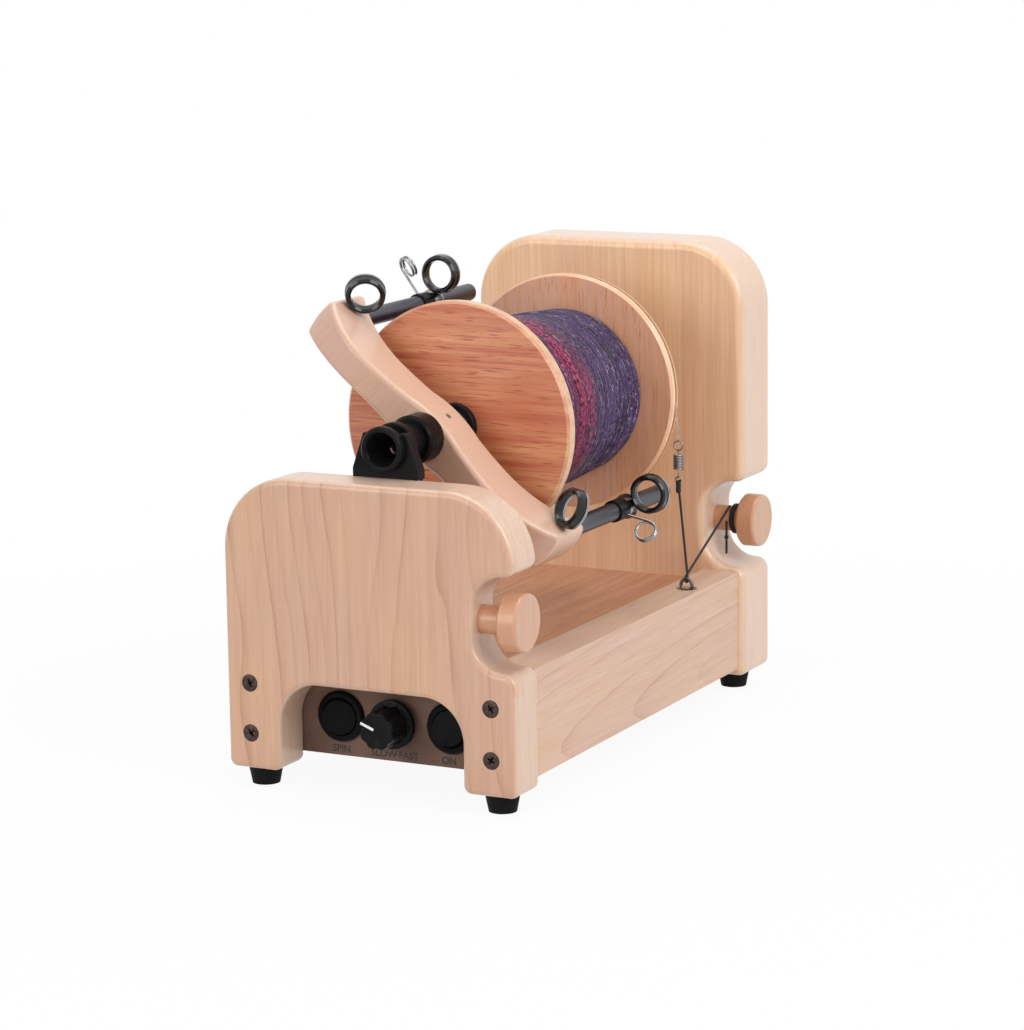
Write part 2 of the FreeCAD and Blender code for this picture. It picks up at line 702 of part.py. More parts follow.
def round_switch(name, x, pivot):
    """A round panel switch: its housing on the root and its rocker on pins along the pivot axis."""
    well = "rocker_radius + rocker_gap"
    floor = "rocker_mid + rocker_thickness / 2 + 2"
    tail = "front_thickness + switch_body_length"
    profile = [(0, floor), (well, floor), (well, "switch_front"), ("switch_bezel_radius - 1", "switch_front"),
               ("switch_bezel_radius", "switch_front + 1"), ("switch_bezel_radius", "front_thickness"),
               ("switch_body_radius", "front_thickness"), ("switch_body_radius", tail), (0, tail)]
    housing = turned(name + "_housing", "Y", profile, x=x, z="control_z")
    length = "switch_body_radius - 0.4"
    middle = {"X": x, "Z": "control_z"}[pivot]
    where = {"x": x, "y": "rocker_mid", "z": "control_z"}
    pin_hole = rod(name + "_pin_hole", pivot, "rocker_pin_radius + running_gap", f"{middle} - ({length})",
                   f"{middle} + {length}", **where)
    keep(name, cut(name, housing, pin_hole))

    rocker = name.replace("switch", "rocker")
    heights = [f"rocker_thickness * {step / 8}" for step in range(-4, 5, 2)]
    rim = [(f"sqrt(rocker_radius * rocker_radius - {level} * {level})", level) for level in heights]
    lens = turned(rocker + "_lens", "Y", [(0, heights[0]), *rim, (0, heights[-1])])
    pin = rod(rocker + "_pin", pivot, "rocker_pin_radius", f"-({length} - 0.2)", f"{length} - 0.2")
    tipped = joined(rocker, lens, pin)
    turn = 1 if pivot == "Z" else -1
    tipped.Placement.Rotation = FreeCAD.Rotation(AXES[pivot], turn * number("rocker_tilt"))
    keep(rocker, place(tipped, x, "rocker_mid", "control_z"))


def controls():
    reach = ("-(rail_inner + groove_depth)", "rail_inner + groove_depth")
    plate = block("control_blank", reach, ("front_thickness", "control_back"),
                  ("rail_bottom", "deck_bottom + 5"))
    switch_holes = [rod(f"switch_hole_{index}", "Y", "switch_body_radius", "front_thickness - 1",
                        "control_back + 1", x=x, z="control_z")
                    for index, x in enumerate(("direction_switch_x", "power_switch_x"))]
    dial_hole = rod("dial_hole", "Y", "dial_bushing_radius", "front_thickness - 1", "control_back + 1",
                    x="speed_knob_x", z="control_z")
    keep("control_panel", cut("control_panel", plate, *switch_holes, dial_hole))
    round_switch("direction_switch", "direction_switch_x", "Z")
    round_switch("power_switch", "power_switch_x", "X")

    bore = "dial_shaft_radius + running_gap"
    nut_radius = "dial_bushing_radius + dial_nut_width"
    nut_front = "front_thickness - dial_nut_thickness"
    shaft_seat = "control_back + dial_body_length - 2"
    dial = turned("speed_dial_body", "Y", [
        (bore, "front_thickness - 3"), ("dial_bushing_radius", "front_thickness - 3"),
        ("dial_bushing_radius", nut_front), (nut_radius, nut_front),
        (nut_radius, "front_thickness"), ("dial_bushing_radius", "front_thickness"),
        ("dial_bushing_radius", "control_back"), ("dial_body_radius", "control_back"),
        ("dial_body_radius", "control_back + dial_body_length"), (0, "control_back + dial_body_length"),
        (0, shaft_seat), (bore, shaft_seat)], x="speed_knob_x", z="control_z")
    keep("speed_dial", dial)
    shaft = rod("speed_dial_shaft", "Y", "dial_shaft_radius", "knob_front + knob_wall", f"{shaft_seat} - 0.1",
                x="speed_knob_x", z="control_z")
    keep("speed_dial_shaft", shaft)
    knob = turned("speed_knob", "Y", [
        (0, "knob_front"), ("knob_cap_radius - 0.6", "knob_front"), ("knob_cap_radius", "knob_front + 0.6"),
        ("knob_cap_radius + 0.6", "knob_skirt_front"), ("knob_skirt_radius - 0.5", "knob_skirt_front"),
        ("knob_skirt_radius", "knob_skirt_front + 0.5"), ("knob_skirt_radius", "knob_back"),
        ("dial_shaft_radius", "knob_back"), ("dial_shaft_radius", "knob_front + knob_wall"),
        (0, "knob_front + knob_wall")],
        x="speed_knob_x", z="control_z")
    keep("speed_knob", knob)


def tension_knob(name, reach, y):
    """A wooden peg that turns in its panel, with a broad round head."""
    face = f"{reach} - knob_thickness"
    profile = [(0, "peg_end"), ("peg_radius", "peg_end"), ("peg_radius", face), ("knob_radius - 1.2", face),
               ("knob_radius", f"{face} + 1.2"), ("knob_radius", f"{reach} - 1.4"),
               ("knob_radius - 0.4", f"{reach} - 0.4"), ("knob_radius - 1.4", reach), (0, reach)]
    keep(name, turned(name, "X", profile, y=y, z="notch_z"))


# ---------------------------------------------------------------- flyer

def flyer_bar():
    """The wooden bow: swept back at both ends, waisted in front view, all edges softened."""
    tip, front, back = number("bar_half_length"), number("bar_front"), number("bar_back")
    bow, front_sweep, back_sweep = number("bar_bow"), number("bar_front_sweep"), number("bar_back_sweep")
    flat, bend, mid_bend = 0.17 * tip, 0.5 * tip, 0.77 * tip

    def plan(x, y):
        return FreeCAD.Vector(x, y, 0)

    def arc(first, second, third):
        return Part.Arc(first, second, third).toShape()

    def line(first, second):
        return Part.LineSegment(first, second).toShape()

    chest = [plan(side * flat, front) for side in (-1, 1)]
    waist = [plan(side * bend, front - bow) for side in (-1, 1)]
    nose = [plan(side * tip, front + front_sweep) for side in (-1, 1)]
    heel = [plan(side * tip, back + back_sweep) for side in (-1, 1)]
    seat = [plan(side * 0.43 * tip, back) for side in (-1, 1)]
    front_knee = [plan(side * mid_bend, front - bow + 0.16 * (front_sweep + bow)) for side in (-1, 1)]
    back_knee = [plan(side * mid_bend, back + 0.31 * back_sweep) for side in (-1, 1)]
    top_view = Part.Wire([
        line(chest[0], chest[1]), line(chest[1], waist[1]), arc(waist[1], front_knee[1], nose[1]),
        line(nose[1], heel[1]), arc(heel[1], back_knee[1], seat[1]), line(seat[1], seat[0]),
        arc(seat[0], back_knee[0], heel[0]), line(heel[0], nose[0]), arc(nose[0], front_knee[0], waist[0]),
        line(waist[0], chest[0])])
    deep = Part.Face(top_view)
    hub, narrow, broad = (number(f"bar_{part}_half_width") for part in ("hub", "waist", "tip"))
    deep.translate(FreeCAD.Vector(0, 0, -2 * hub))
    slab = deep.extrude(FreeCAD.Vector(0, 0, 4 * hub))

    def face_on(x, z):
        return FreeCAD.Vector(x, 0, z)

    shoulder, waist, corner = 0.2 * tip, 0.53 * tip, 0.975 * tip
    edges = []
    for side in (1, -1):
        edges.append(arc(face_on(-side * shoulder, side * (hub - 2)), face_on(0, side * hub),
                         face_on(side * shoulder, side * (hub - 2))))
        edges.append(arc(face_on(side * shoulder, side * (hub - 2)),
                         face_on(side * waist, side * narrow),
                         face_on(side * corner, side * broad)))
        edges.append(arc(face_on(side * corner, side * broad), face_on(side * tip, 0),
                         face_on(side * corner, -side * broad)))
        edges.append(arc(face_on(side * corner, -side * broad),
                         face_on(side * waist, -side * narrow),
                         face_on(side * shoulder, -side * (hub - 2))))
    front_view = Part.Wire([edge for edge in Part.__sortEdges__(edges)])
    outline_solid = Part.Face(front_view).extrude(FreeCAD.Vector(0, SPAN, 0))
    blank = slab.common(outline_solid)
    return solid_of("bar_blank", blank.makeFillet(number("bar_edge_round"), blank.Edges))


def ring_stem(prefix, side):
    """The stem that carries a fixed ring, driven into the bar's upper face."""
    back = "(ring_thickness + ring_frame_thickness) / 2"
    low = "bar_tip_half_width - 0.9 - fixed_stem_depth"
    return rod(prefix, "Z", "fixed_stem_radius", low, "fixed_ring_rise - ring_outer_radius + 0.6",
               x=f"{side} * (fixed_ring_reach + {back} * sin(fixed_ring_tilt))",
               y=f"fixed_ring_place + {back} * cos(fixed_ring_tilt)")


def ring_pair(name, x, y, z, turn):
    """A guide ring and, on its back, the flat metal ring that carries it."""
    half = "ring_thickness / 2"
    soft = 0.9
    ring = turned(name + "_ring", "Y", [
        (f"ring_hole_radius + {soft}", f"-{half}"), (f"ring_outer_radius - {soft}", f"-{half}"),
        ("ring_outer_radius", f"-{half} + {soft}"), ("ring_outer_radius", f"{half} - 0.2"),
        ("ring_outer_radius - 0.2", half), ("ring_hole_radius + 0.5", half),
        ("ring_hole_radius", f"{half} - 0.5"),
        ("ring_hole_radius", f"-{half} + {soft}")], x, y, z)
    metal = turned(name + "_metal", "Y", [
        ("ring_hole_radius + 0.6", half), ("ring_outer_radius + 0.3", half),
        ("ring_outer_radius + 0.3", f"{half} + ring_frame_thickness"),
        ("ring_hole_radius + 0.6", f"{half} + ring_frame_thickness")], x, y, z)
    for thing in (ring, metal):
        thing.Placement.Rotation = turn
    return ring, metal


def fixed_guides():
    rings, frames = [], []
    for side, name in ((-1, "upper_fixed"), (1, "lower_fixed")):
        turn = FreeCAD.Rotation(AXES["Z"], -side * number("fixed_ring_tilt"))
        ring, metal = ring_pair(name, f"{side} * fixed_ring_reach", "fixed_ring_place",
                                "fixed_ring_rise", turn)
        ahead = "(ring_thickness / 2 + 5)"
        space = rod(name + "_ring_space", "Y", "ring_outer_radius + running_gap", 0, "ring_thickness + 5")
        space.Placement.Rotation = turn.multiply(space.Placement.Rotation)
        place(space, f"{side} * (fixed_ring_reach - {ahead} * sin(fixed_ring_tilt))",
              f"fixed_ring_place - {ahead} * cos(fixed_ring_tilt)", "fixed_ring_rise")
        stem = cut(name + "_stem_end", ring_stem(name + "_stem", side), space)
        rings.append(ring)
        frames.append(joined(name + "_frame", metal, stem))
    keep("fixed_guide_rings", group("fixed_guide_rings", rings), True)
    keep("fixed_guide_frames", group("fixed_guide_frames", frames), True)


def pigtail(name, slider, side):
    """A wire hook: a straight leg out from its sleeve, then a leaning coil of almost two turns."""
    wire, coil = number("pigtail_wire_radius"), number("pigtail_coil_radius")
    lean = math.radians(number("pigtail_lean"))
    y = number(f"{slider}_front + pigtail_place")
    root_x = side * number("rod_circle + sleeve_radius - 0.6")
    root_z = 1.5
    centre_x = side * number("rod_circle + pigtail_reach")
    centre_z = number("upper_pigtail_rise" if side < 0 else "lower_pigtail_rise")
    across, up = centre_x - root_x, centre_z - root_z
    away = math.hypot(across, up)
    flat_coil = coil * math.cos(lean)
    heading = math.atan2(up, across) + math.asin(flat_coil / away)
    leg = math.sqrt(away**2 - flat_coil**2)
    root = FreeCAD.Vector(root_x, y, root_z)
    way = FreeCAD.Vector(math.cos(heading), 0, math.sin(heading))
    start = root + way * leg

    pitch = 2.6 * wire
    helix = Part.makeHelix(pitch, 1.75 * pitch, coil)
    ring = Part.Wire(Part.makeCircle(wire, FreeCAD.Vector(coil, 0, 0), AXES["Y"]))
    turns = Part.Wire(helix.Edges).makePipeShell([ring], True, True)
    turns.translate(FreeCAD.Vector(-coil, 0, 0))
    turns.rotate(FreeCAD.Vector(0, 0, 0), AXES["X"], -90)
    turns.rotate(FreeCAD.Vector(0, 0, 0), AXES["Y"], -90 - math.degrees(heading))
    turns.rotate(FreeCAD.Vector(0, 0, 0), way, -number("pigtail_lean"))
    turns.translate(start)
    straight = Part.makeCylinder(wire, leg + 0.3, root, way)
    return solid_of(name, turns.fuse(straight))


def sliding_guide(name, side):
    """A guide that slides on its rod: sleeve, metal clamp with its ring, and a wire pigtail."""
    x = f"{side} * rod_circle"
    bore = "rod_radius + running_gap"
    front = f"{name}_front"
    clamp_front = f"{front} + sleeve_length"
    plate_front = f"{clamp_front} + clamp_length"
    plate_back = f"{plate_front} + ring_frame_thickness"
    sleeve = turned(name + "_sleeve", "Y", [
        (bore, front), ("sleeve_radius - 0.5", front), ("sleeve_radius", f"{front} + 0.5"),
        ("sleeve_radius", clamp_front), (bore, clamp_front)], x=x)
    hook = pigtail(name + "_pigtail", name, side)
    keep(name + "_sleeve", cut(name + "_sleeve_body", sleeve, pigtail(name + "_hook_hole", name, side)), True)
    ring_x = f"{side} * (rod_circle + slider_ring_out)"
    ring_y = f"{plate_front} - ring_thickness / 2"
    ring, metal = ring_pair(name, ring_x, ring_y, "slider_ring_rise", FreeCAD.Rotation())
    keep(name + "_ring", ring, True)
    band = rod(name + "_clamp", "Y", "sleeve_radius - 0.3", clamp_front, plate_back, x=x)
    eye_disc = rod(name + "_plate_eye", "Y", "sleeve_radius + 0.8", plate_front, plate_back, x=x)
    low, high = sorted((f"{side} * (rod_circle + slider_ring_out / 2 - 3)",
                        f"{side} * (rod_circle + slider_ring_out / 2 + 3)"), key=number)
    web = block(name + "_plate_web", (low, high), (plate_front, plate_back),
                ("rod_radius + 0.5", "slider_ring_rise - ring_hole_radius - 1"))
    blank = joined(name + "_plate_blank", metal, band, eye_disc, web)
    hole = rod(name + "_plate_hole", "Y", bore, f"{clamp_front} - 1", f"{plate_back} + 1", x=x)
    keep(name + "_frame", cut(name + "_frame_body", blank, hole), True)
    keep(name + "_pigtail", hook, True)


def flyer():
    neck = "orifice_neck_radius"
    rim_back = "cradle_front - 0.2"
    tube_end = "orifice_front + orifice_length"
    tube = turned("orifice_blank", "Y", [
        ("orifice_mouth_radius", "orifice_front + orifice_lip"),
        ("orifice_mouth_radius + 0.4 * orifice_lip", "orifice_front + 0.3 * orifice_lip"),
        ("orifice_mouth_radius + orifice_lip", "orifice_front"),
        ("orifice_rim_radius - 0.8", "orifice_front"),
        ("orifice_rim_radius", "orifice_front + 0.8"), ("orifice_rim_radius", rim_back), (neck, rim_back),
        (neck, tube_end), ("orifice_bore_radius", tube_end),
        ("orifice_bore_radius", "orifice_front + orifice_mouth_depth")])
    exits = [rod(name, "Z", "yarn_exit_radius", "-(hub_radius + 2)", 0, y="yarn_exit_place")
             for name in ("tube_exit", "hub_exit")]
    keep("orifice_tube", cut("orifice_tube", tube, exits[0]), True)
    ring_end = "hub_front + hub_ring_length"
    collar_front = "hub_back - hub_length"
    collar = turned("hub_blank", "Y", [
        (neck, "hub_front"), ("hub_ring_radius - 0.6", "hub_front"), ("hub_ring_radius", "hub_front + 0.6"),
        ("hub_ring_radius", ring_end), ("hub_neck_radius", ring_end), ("hub_neck_radius", collar_front),
        ("hub_radius - 1.2", collar_front), ("hub_radius", f"{collar_front} + 1.2"),
        ("hub_radius", "hub_back - 0.6"), ("hub_radius - 0.6", "hub_back"),
        ("spindle_radius", "hub_back"), ("spindle_radius", tube_end), (neck, tube_end)])
    keep("hub_collar", cut("hub_collar", collar, exits[1]), True)

    shoulder = "bush_front - 0.3"
    spindle = turned("spindle", "Y", [
        (0, f"{tube_end} + 0.3"), ("spindle_radius", f"{tube_end} + 0.3"), ("spindle_radius", "bar_back"),
        ("shoulder_radius", "bar_back"), ("shoulder_radius", shoulder), ("spindle_radius", shoulder),
        ("spindle_radius", "hub_socket - 0.5"), (0, "hub_socket - 0.5")])
    keep("spindle", spindle, True)
    grub_top = "bar_hub_half_width - 1.6"
    keep("spindle_grub_screw", rod("spindle_grub_screw", "Z", "grub_screw_radius", "spindle_radius", grub_top,
                                   y="bar_mid"), True)

    rods = {}
    for use in ("rod", "rod_hole"):
        rods[use] = [turned(f"{name}_{use}", "Y", [
            (0, "rod_start"), ("rod_radius", "rod_start"), ("rod_radius", "rod_end - 0.8"),
            ("rod_radius - 0.8", "rod_end"), (0, "rod_end")], x=x)
            for name, x in (("upper", "-rod_circle"), ("lower", "rod_circle"))]
    keep("flyer_rods", group("flyer_rods", rods["rod"]), True)
    tools = rods["rod_hole"] + [
        rod("spindle_hole", "Y", "spindle_radius", "bar_front - 5", "bar_back + 5"),
        rod("grub_hole", "Z", "grub_screw_radius", 0, "bar_hub_half_width + 2", y="bar_mid"),
        ring_stem("upper_stem_hole", -1), ring_stem("lower_stem_hole", 1)]
    keep("flyer_bar", cut("flyer_bar", flyer_bar(), *tools), True)
    fixed_guides()
    sliding_guide("upper_slider", -1)
    sliding_guide("lower_slider", 1)


def bobbin():
    rim = "flange_rim_round"
    back = "core_front"
    front_flange = turned("bobbin_front_flange", "Y", [
        ("bush_radius", "front_flange_front"), (f"flange_radius - {rim}", "front_flange_front"),
        ("flange_radius", f"front_flange_front + {rim}"), ("flange_radius", f"{back} - {rim}"),
        (f"flange_radius - {rim}", back), ("bush_radius", back)])
    keep("bobbin_front_flange", front_flange, True)
    floor = "flange_radius - brake_groove_depth"
    rear_flange = turned("bobbin_rear_flange", "Y", [
        ("bush_radius", "rear_flange_front"), (f"flange_radius - {rim}", "rear_flange_front"),
        ("flange_radius", f"rear_flange_front + {rim}"),
        ("flange_radius", "brake_place - brake_groove_width / 2"),
        (floor, "brake_place - brake_groove_width / 2"), (floor, "brake_place + brake_groove_width / 2"),
        ("flange_radius", "brake_place + brake_groove_width / 2"),
        ("flange_radius", f"rear_flange_back - {rim}"),
        (f"flange_radius - {rim}", "rear_flange_back"), ("bush_radius", "rear_flange_back")])
    keep("bobbin_rear_flange", rear_flange, True)
    core = turned("bobbin_core", "Y", [("bush_radius", back), ("core_radius", back),
                                       ("core_radius", "rear_flange_front"),
                                       ("bush_radius", "rear_flange_front")])
    keep("bobbin_core", core, True)
    bushes = []
    for name, collar, seat, sign in (("front_bush", "bush_front", "front_flange_front", 1),
                                     ("rear_bush", "bush_rear", "rear_flange_back", -1)):
        end = f"{collar} + {sign} * bush_length"
        bushes.append(turned(name, "Y", [
            ("bush_bore", collar), ("bush_collar_radius - 0.6", collar),
            ("bush_collar_radius", f"{collar} + {sign} * 0.6"), ("bush_collar_radius", seat),
            ("bush_radius", seat),
            ("bush_radius", end), ("bush_bore", end)]))
    keep("bobbin_bushes", group("bobbin_bushes", bushes), True)
    front, rear = f"{back} + soft_gap / 3", "rear_flange_front - soft_gap / 3"
    winding = turned("yarn_winding", "Y", [
        ("core_radius", front), ("yarn_radius - yarn_front_swell", front), ("yarn_radius", f"{front} + 8"),
        ("yarn_radius", f"{rear} - 40"), ("yarn_radius - yarn_rear_taper", f"{rear} - 3"),
        ("yarn_radius - yarn_rear_taper - 2", rear), ("core_radius", rear)])
    keep("yarn_winding", winding, True)


# ---------------------------------------------------------------- drive

def motor_screws(prefix):
    return [screw(f"{prefix}_{index}", "Y", "web_back", -1, "motor_screw_head_radius", "motor_screw_radius",
                  "web_thickness + 4", x=x, z="motor_z")
            for index, x in enumerate(("-motor_screw_spacing / 2", "motor_screw_spacing / 2"), start=1)]


def drive():
    bearings = [rod(f"bearing_ring_{index}", "Y", "bearing_radius", low, f"{low} + bearing_width", z="axis_z")
                for index, low in enumerate(("rear_face + 0.4", "web_back - 0.4 - bearing_width"))]
    rings = [cut(f"bearing_{index}", ring, rod(f"bearing_bore_{index}", "Y", "shaft_radius + running_gap",
                                               "rear_face", "web_back", z="axis_z"))
             for index, ring in enumerate(bearings)]
    keep("rear_bearings", group("rear_bearings", rings))
    hub = turned("drive_hub", "Y", [
        ("spindle_radius + running_gap", "drive_hub_front"), ("drive_hub_radius - 1", "drive_hub_front"),
        ("drive_hub_radius", "drive_hub_front + 1"), ("drive_hub_radius", "drive_hub_back - 4"),
        ("drive_hub_radius - 6", "drive_hub_back"), ("shaft_radius", "drive_hub_back"),
        ("shaft_radius", "hub_socket"), ("spindle_radius + running_gap", "hub_socket")])
    keep("drive_hub", hub, True)
    shaft = rod("drive_shaft", "Y", "shaft_radius", "hub_socket + 0.1", "pulley_back + 0.5")
    keep("drive_shaft", shaft, True)
    keep("drive_pulley", pulley("drive_pulley", "drive_pulley_radius", "shaft_radius", 0), True)
    motor_blank = turned("motor", "Y", [
        ("motor_shaft_radius + running_gap", "rear_face"),
        ("motor_shaft_radius + running_gap", "rear_face - 10"), (0, "rear_face - 10"),
        (0, "rear_face - motor_length"), ("motor_radius - 1", "rear_face - motor_length"),
        ("motor_radius", "rear_face - motor_length + 1"), ("motor_radius", "rear_face")], z="motor_z")
    keep("motor", cut("motor_body", motor_blank, *motor_screws("motor_thread")))
    keep("motor_screws", group("motor_screws", motor_screws("motor_screw")))
    keep("motor_shaft", rod("motor_shaft", "Y", "motor_shaft_radius", "rear_face - 9.9", "pulley_back",
                            z="motor_z"))
    keep("motor_pulley", pulley("motor_pulley", "motor_pulley_radius", "motor_shaft_radius", "motor_z"))
    gap = "belt_gap"
    low, high = "pulley_mid - belt_width / 2", "pulley_mid + belt_width / 2"
    outside = solid_of("belt_outside", racetrack(f"motor_pulley_radius + {gap} + belt_thickness",
                                                 f"drive_pulley_radius + {gap} + belt_thickness", low, high))
    inside = solid_of("belt_inside", racetrack(f"motor_pulley_radius + {gap}", f"drive_pulley_radius + {gap}",
                                               low, high))
    keep("drive_belt", cut("drive_belt", outside, inside))


def pulley(name, radius, bore, z):
    """A belt pulley with a thin flange on each side."""
    rim = f"{radius} + 1.5"
    low, high = "pulley_front + 1", "pulley_back - 1"
    return turned(name, "Y", [
        (bore, "pulley_front"), (rim, "pulley_front"), (rim, low), (radius, low), (radius, high), (rim, high),
        (rim, "pulley_back"), (bore, "pulley_back")], z=z)


def electronics():
    bottom = "base_top + board_lift"
    half = "board_width / 2"
    start = "control_back + board_start"
    sheet_blank = block("board_sheet", (f"-{half}", half), (start, f"{start} + board_length"),
                        (bottom, f"{bottom} + board_thickness"))
    corners = [(x, y) for x in (f"-{half} + board_post_inset", f"{half} - board_post_inset")
               for y in (f"{start} + board_post_inset", f"{start} + board_length - board_post_inset")]
    post_top = f"{bottom} + board_thickness / 8"
    posts = [rod(f"board_post_{index}", "Z", "board_post_radius", "base_top", post_top, x=x, y=y)
             for index, (x, y) in enumerate(corners)]
    sink_outer = f"{half} - sink_inset"
    sink = block("board_heat_sink", (f"{sink_outer} - sink_thickness", sink_outer),
                 (f"{start} + sink_start", f"{start} + sink_start + sink_length"),
                 (bottom, f"{bottom} + sink_height"))
    can = rod("board_capacitor", "Z", "capacitor_radius", bottom, f"{bottom} + capacitor_height",
              x=f"-{half} + capacitor_inset", y=f"{start} + capacitor_start")
    keep("circuit_board", joined("circuit_board", sheet_blank, *posts, sink, can))
    floor = "back_face - inlet_recess_depth"
    flange, socket = "inlet_radius + inlet_lip", "inlet_radius - inlet_wall"
    socket_end = f"{floor} - inlet_socket_depth"
    inlet = turned("power_inlet", "Y", [
        (0, "rear_face - inlet_tail"), (flange, "rear_face - inlet_tail"), (flange, "rear_face"),
        ("inlet_radius", "rear_face"), ("inlet_radius", floor), (flange, floor),
        (flange, f"{floor} + inlet_lip"), (socket, f"{floor} + inlet_lip"), (socket, socket_end),
        ("inlet_pin_radius", socket_end), ("inlet_pin_radius", f"{floor} + 1"), (0, f"{floor} + 1")],
        x="-inlet_offset", z="motor_z")
    keep("power_inlet", inlet)


# ---------------------------------------------------------------- brake

def eye(name, x, hole=False):
    """A screw eye in a rail's top: a ring of wire across the machine, on a shank."""
    centre = vector(x, "brake_place", "eye_z")
    ring_radius, wire = number("eye_ring_radius"), number("eye_wire_radius")
    ring = Part.makeTorus(ring_radius, wire, centre, AXES["Y"])
    top = centre.z - ring_radius
    length = number("eye_shank_length")
    shank = Part.makeCylinder(wire, length, FreeCAD.Vector(centre.x, centre.y, top - length), AXES["Z"])
    return solid_of(name, shank if hole else ring.fuse(shank))


def tangent_from(point, centre, radius, side):
    """Where a line from a point in a plane touches a circle, on one side of it."""
    away = point - centre
    lean = math.acos(radius / away.Length)
    turn = math.atan2(away.y, away.x) + side * lean
    return centre + FreeCAD.Vector(math.cos(turn), math.sin(turn), 0) * radius


def tube(name, edges, radius):
    """A round cord along a chain of edges."""
    wire = Part.Wire(edges)
    first = wire.Edges[0]
    start = first.valueAt(first.FirstParameter)
    way = first.tangentAt(first.FirstParameter)
    ring = Part.Wire(Part.makeCircle(radius, start, way))
    shape = wire.makePipeShell([ring], True, True)
    fill = shape.Volume / (math.pi * radius**2 * wire.Length)
    print(name, "length", round(wire.Length, 1), "fill", round(fill, 4))
    return solid_of(name, shape)


def brake():
    y = number("brake_place")
    axis_z = number("axis_z")

    def upright(x, z):
        return FreeCAD.Vector(x, y, z)

    loop = number("spring_radius")
    coil_half = number("spring_length / 2")
    spring_x, spring_z = number("spring_x"), number("spring_z")
    wire = number("spring_wire_radius")
    middle = loop - wire
    spring_top = spring_z + coil_half + 3 * middle + wire
    spring_bottom = spring_z - coil_half - 3 * middle - wire

    wrap = number("brake_radius")
    axis = FreeCAD.Vector(0, axis_z, 0)
    right_end = FreeCAD.Vector(spring_x, spring_top + 0.1, 0)
    left_end = FreeCAD.Vector(-number("eye_x"), number("eye_z + eye_ring_radius + eye_wire_radius") + 0.1, 0)
    right = tangent_from(right_end, axis, wrap, 1)
    left = tangent_from(left_end, axis, wrap, -1)
    top = axis + FreeCAD.Vector(0, wrap, 0)
    points = [upright(spot.x, spot.y) for spot in (right_end, right, top, left, left_end)]
    line_edges = [Part.LineSegment(points[0], points[1]).toShape(),
                  Part.Arc(points[1], points[2], points[3]).toShape(),
                  Part.LineSegment(points[3], points[4]).toShape()]
    keep("brake_line", tube("brake_line", line_edges, number("line_radius")))

    turns = 6
    helix = Part.makeHelix(2 * coil_half / turns, 2 * coil_half, middle)
    helix.translate(upright(spring_x, spring_z - coil_half))
    ring = Part.Wire(Part.makeCircle(wire, upright(spring_x + middle, spring_z - coil_half), AXES["Y"]))
    coil = Part.Wire(helix.Edges).makePipeShell([ring], True, True)
    hooks = []
    for side in (-1, 1):
        loop_place = upright(spring_x, spring_z + side * (coil_half + 2 * middle))
        hooks.append(Part.makeTorus(middle, wire, loop_place, AXES["Y"]))
        foot = upright(spring_x + middle, spring_z + side * (coil_half - wire / 2))
        step = upright(spring_x, spring_z + side * (coil_half + middle)) - foot
        hooks.append(Part.makeCylinder(wire, step.Length, foot, step))
    keep("brake_spring", solid_of("brake_spring", coil.fuse(hooks)))

    cord = number("cord_radius")
    start = upright(spring_x, spring_bottom - 0.1)
    hook = vector("eye_x", "brake_place", "eye_z + eye_ring_radius")
    bend = number("eye_wire_radius") + cord + 0.05
    peg = vector("wrap_start - cord_radius - 0.15", "rear_mid", "notch_z")
    round_peg = number("peg_radius + soft_gap") + cord
    lean_plane = peg_plane(start, hook, peg)
    down = tangent_from(lean_plane.flat(start), lean_plane.flat(hook), bend, -1)
    turn_end = tangent_from(lean_plane.flat(peg_start(peg, hook, round_peg)), lean_plane.flat(hook), bend, 1)
    below = lean_plane.lowest(hook, bend)
    first = lean_plane.lift(down)
    last = lean_plane.lift(turn_end)
    reach = peg_start(peg, hook, round_peg)
    cord_edges = [Part.LineSegment(start, first).toShape(),
                  Part.Arc(first, below, last).toShape(),
                  Part.LineSegment(last, reach).toShape()]
    run = tube("brake_cord_run", cord_edges, cord)
    knot = solid_of("brake_cord_knot", Part.makeSphere(cord * 2.2, start - FreeCAD.Vector(0, 0, 3.4)))
    tail_x = number("wrap_start - cord_radius / 2")
    tail_top = FreeCAD.Vector(tail_x, peg.y - number("wrap_radius") - cord - 0.1, peg.z)
    tail_foot = tail_top - FreeCAD.Vector(0, 0, number("tail_drop"))
    tail = tube("brake_cord_end", [Part.LineSegment(tail_top, tail_foot).toShape()], cord)
    tail_knot_place = tail_top - FreeCAD.Vector(0, 0, number("tail_knot_drop"))
    tail_knot = solid_of("brake_cord_end_knot", Part.makeSphere(cord * 1.9, tail_knot_place))
    keep("brake_cord", group("brake_cord", [joined("brake_cord_front", run, knot),
                                            joined("brake_cord_tail", tail, tail_knot)]))

    wraps = turned("cord_wraps", "X", [
        ("peg_radius", "wrap_start"), ("wrap_radius - 0.3", "wrap_start"),
        ("wrap_radius", "wrap_start + 0.3"),
        ("wrap_radius", "wrap_start + wrap_length - 0.3"), ("wrap_radius - 0.3", "wrap_start + wrap_length"),
        ("peg_radius", "wrap_start + wrap_length")], y="rear_mid", z="notch_z")
    keep("cord_wraps", wraps)
    keep("screw_eyes", group("screw_eyes", [eye("right_eye", "eye_x"), eye("left_eye", "-eye_x")]))


def peg_start(peg, hook, radius):
    """Where the cord that comes up from the eye meets the top of the peg's circle."""
    side_on = FreeCAD.Vector(hook.y, hook.z, 0)
    spot = tangent_from(side_on, FreeCAD.Vector(peg.y, peg.z, 0), radius, -1)
    return FreeCAD.Vector(peg.x, spot.x, spot.y)


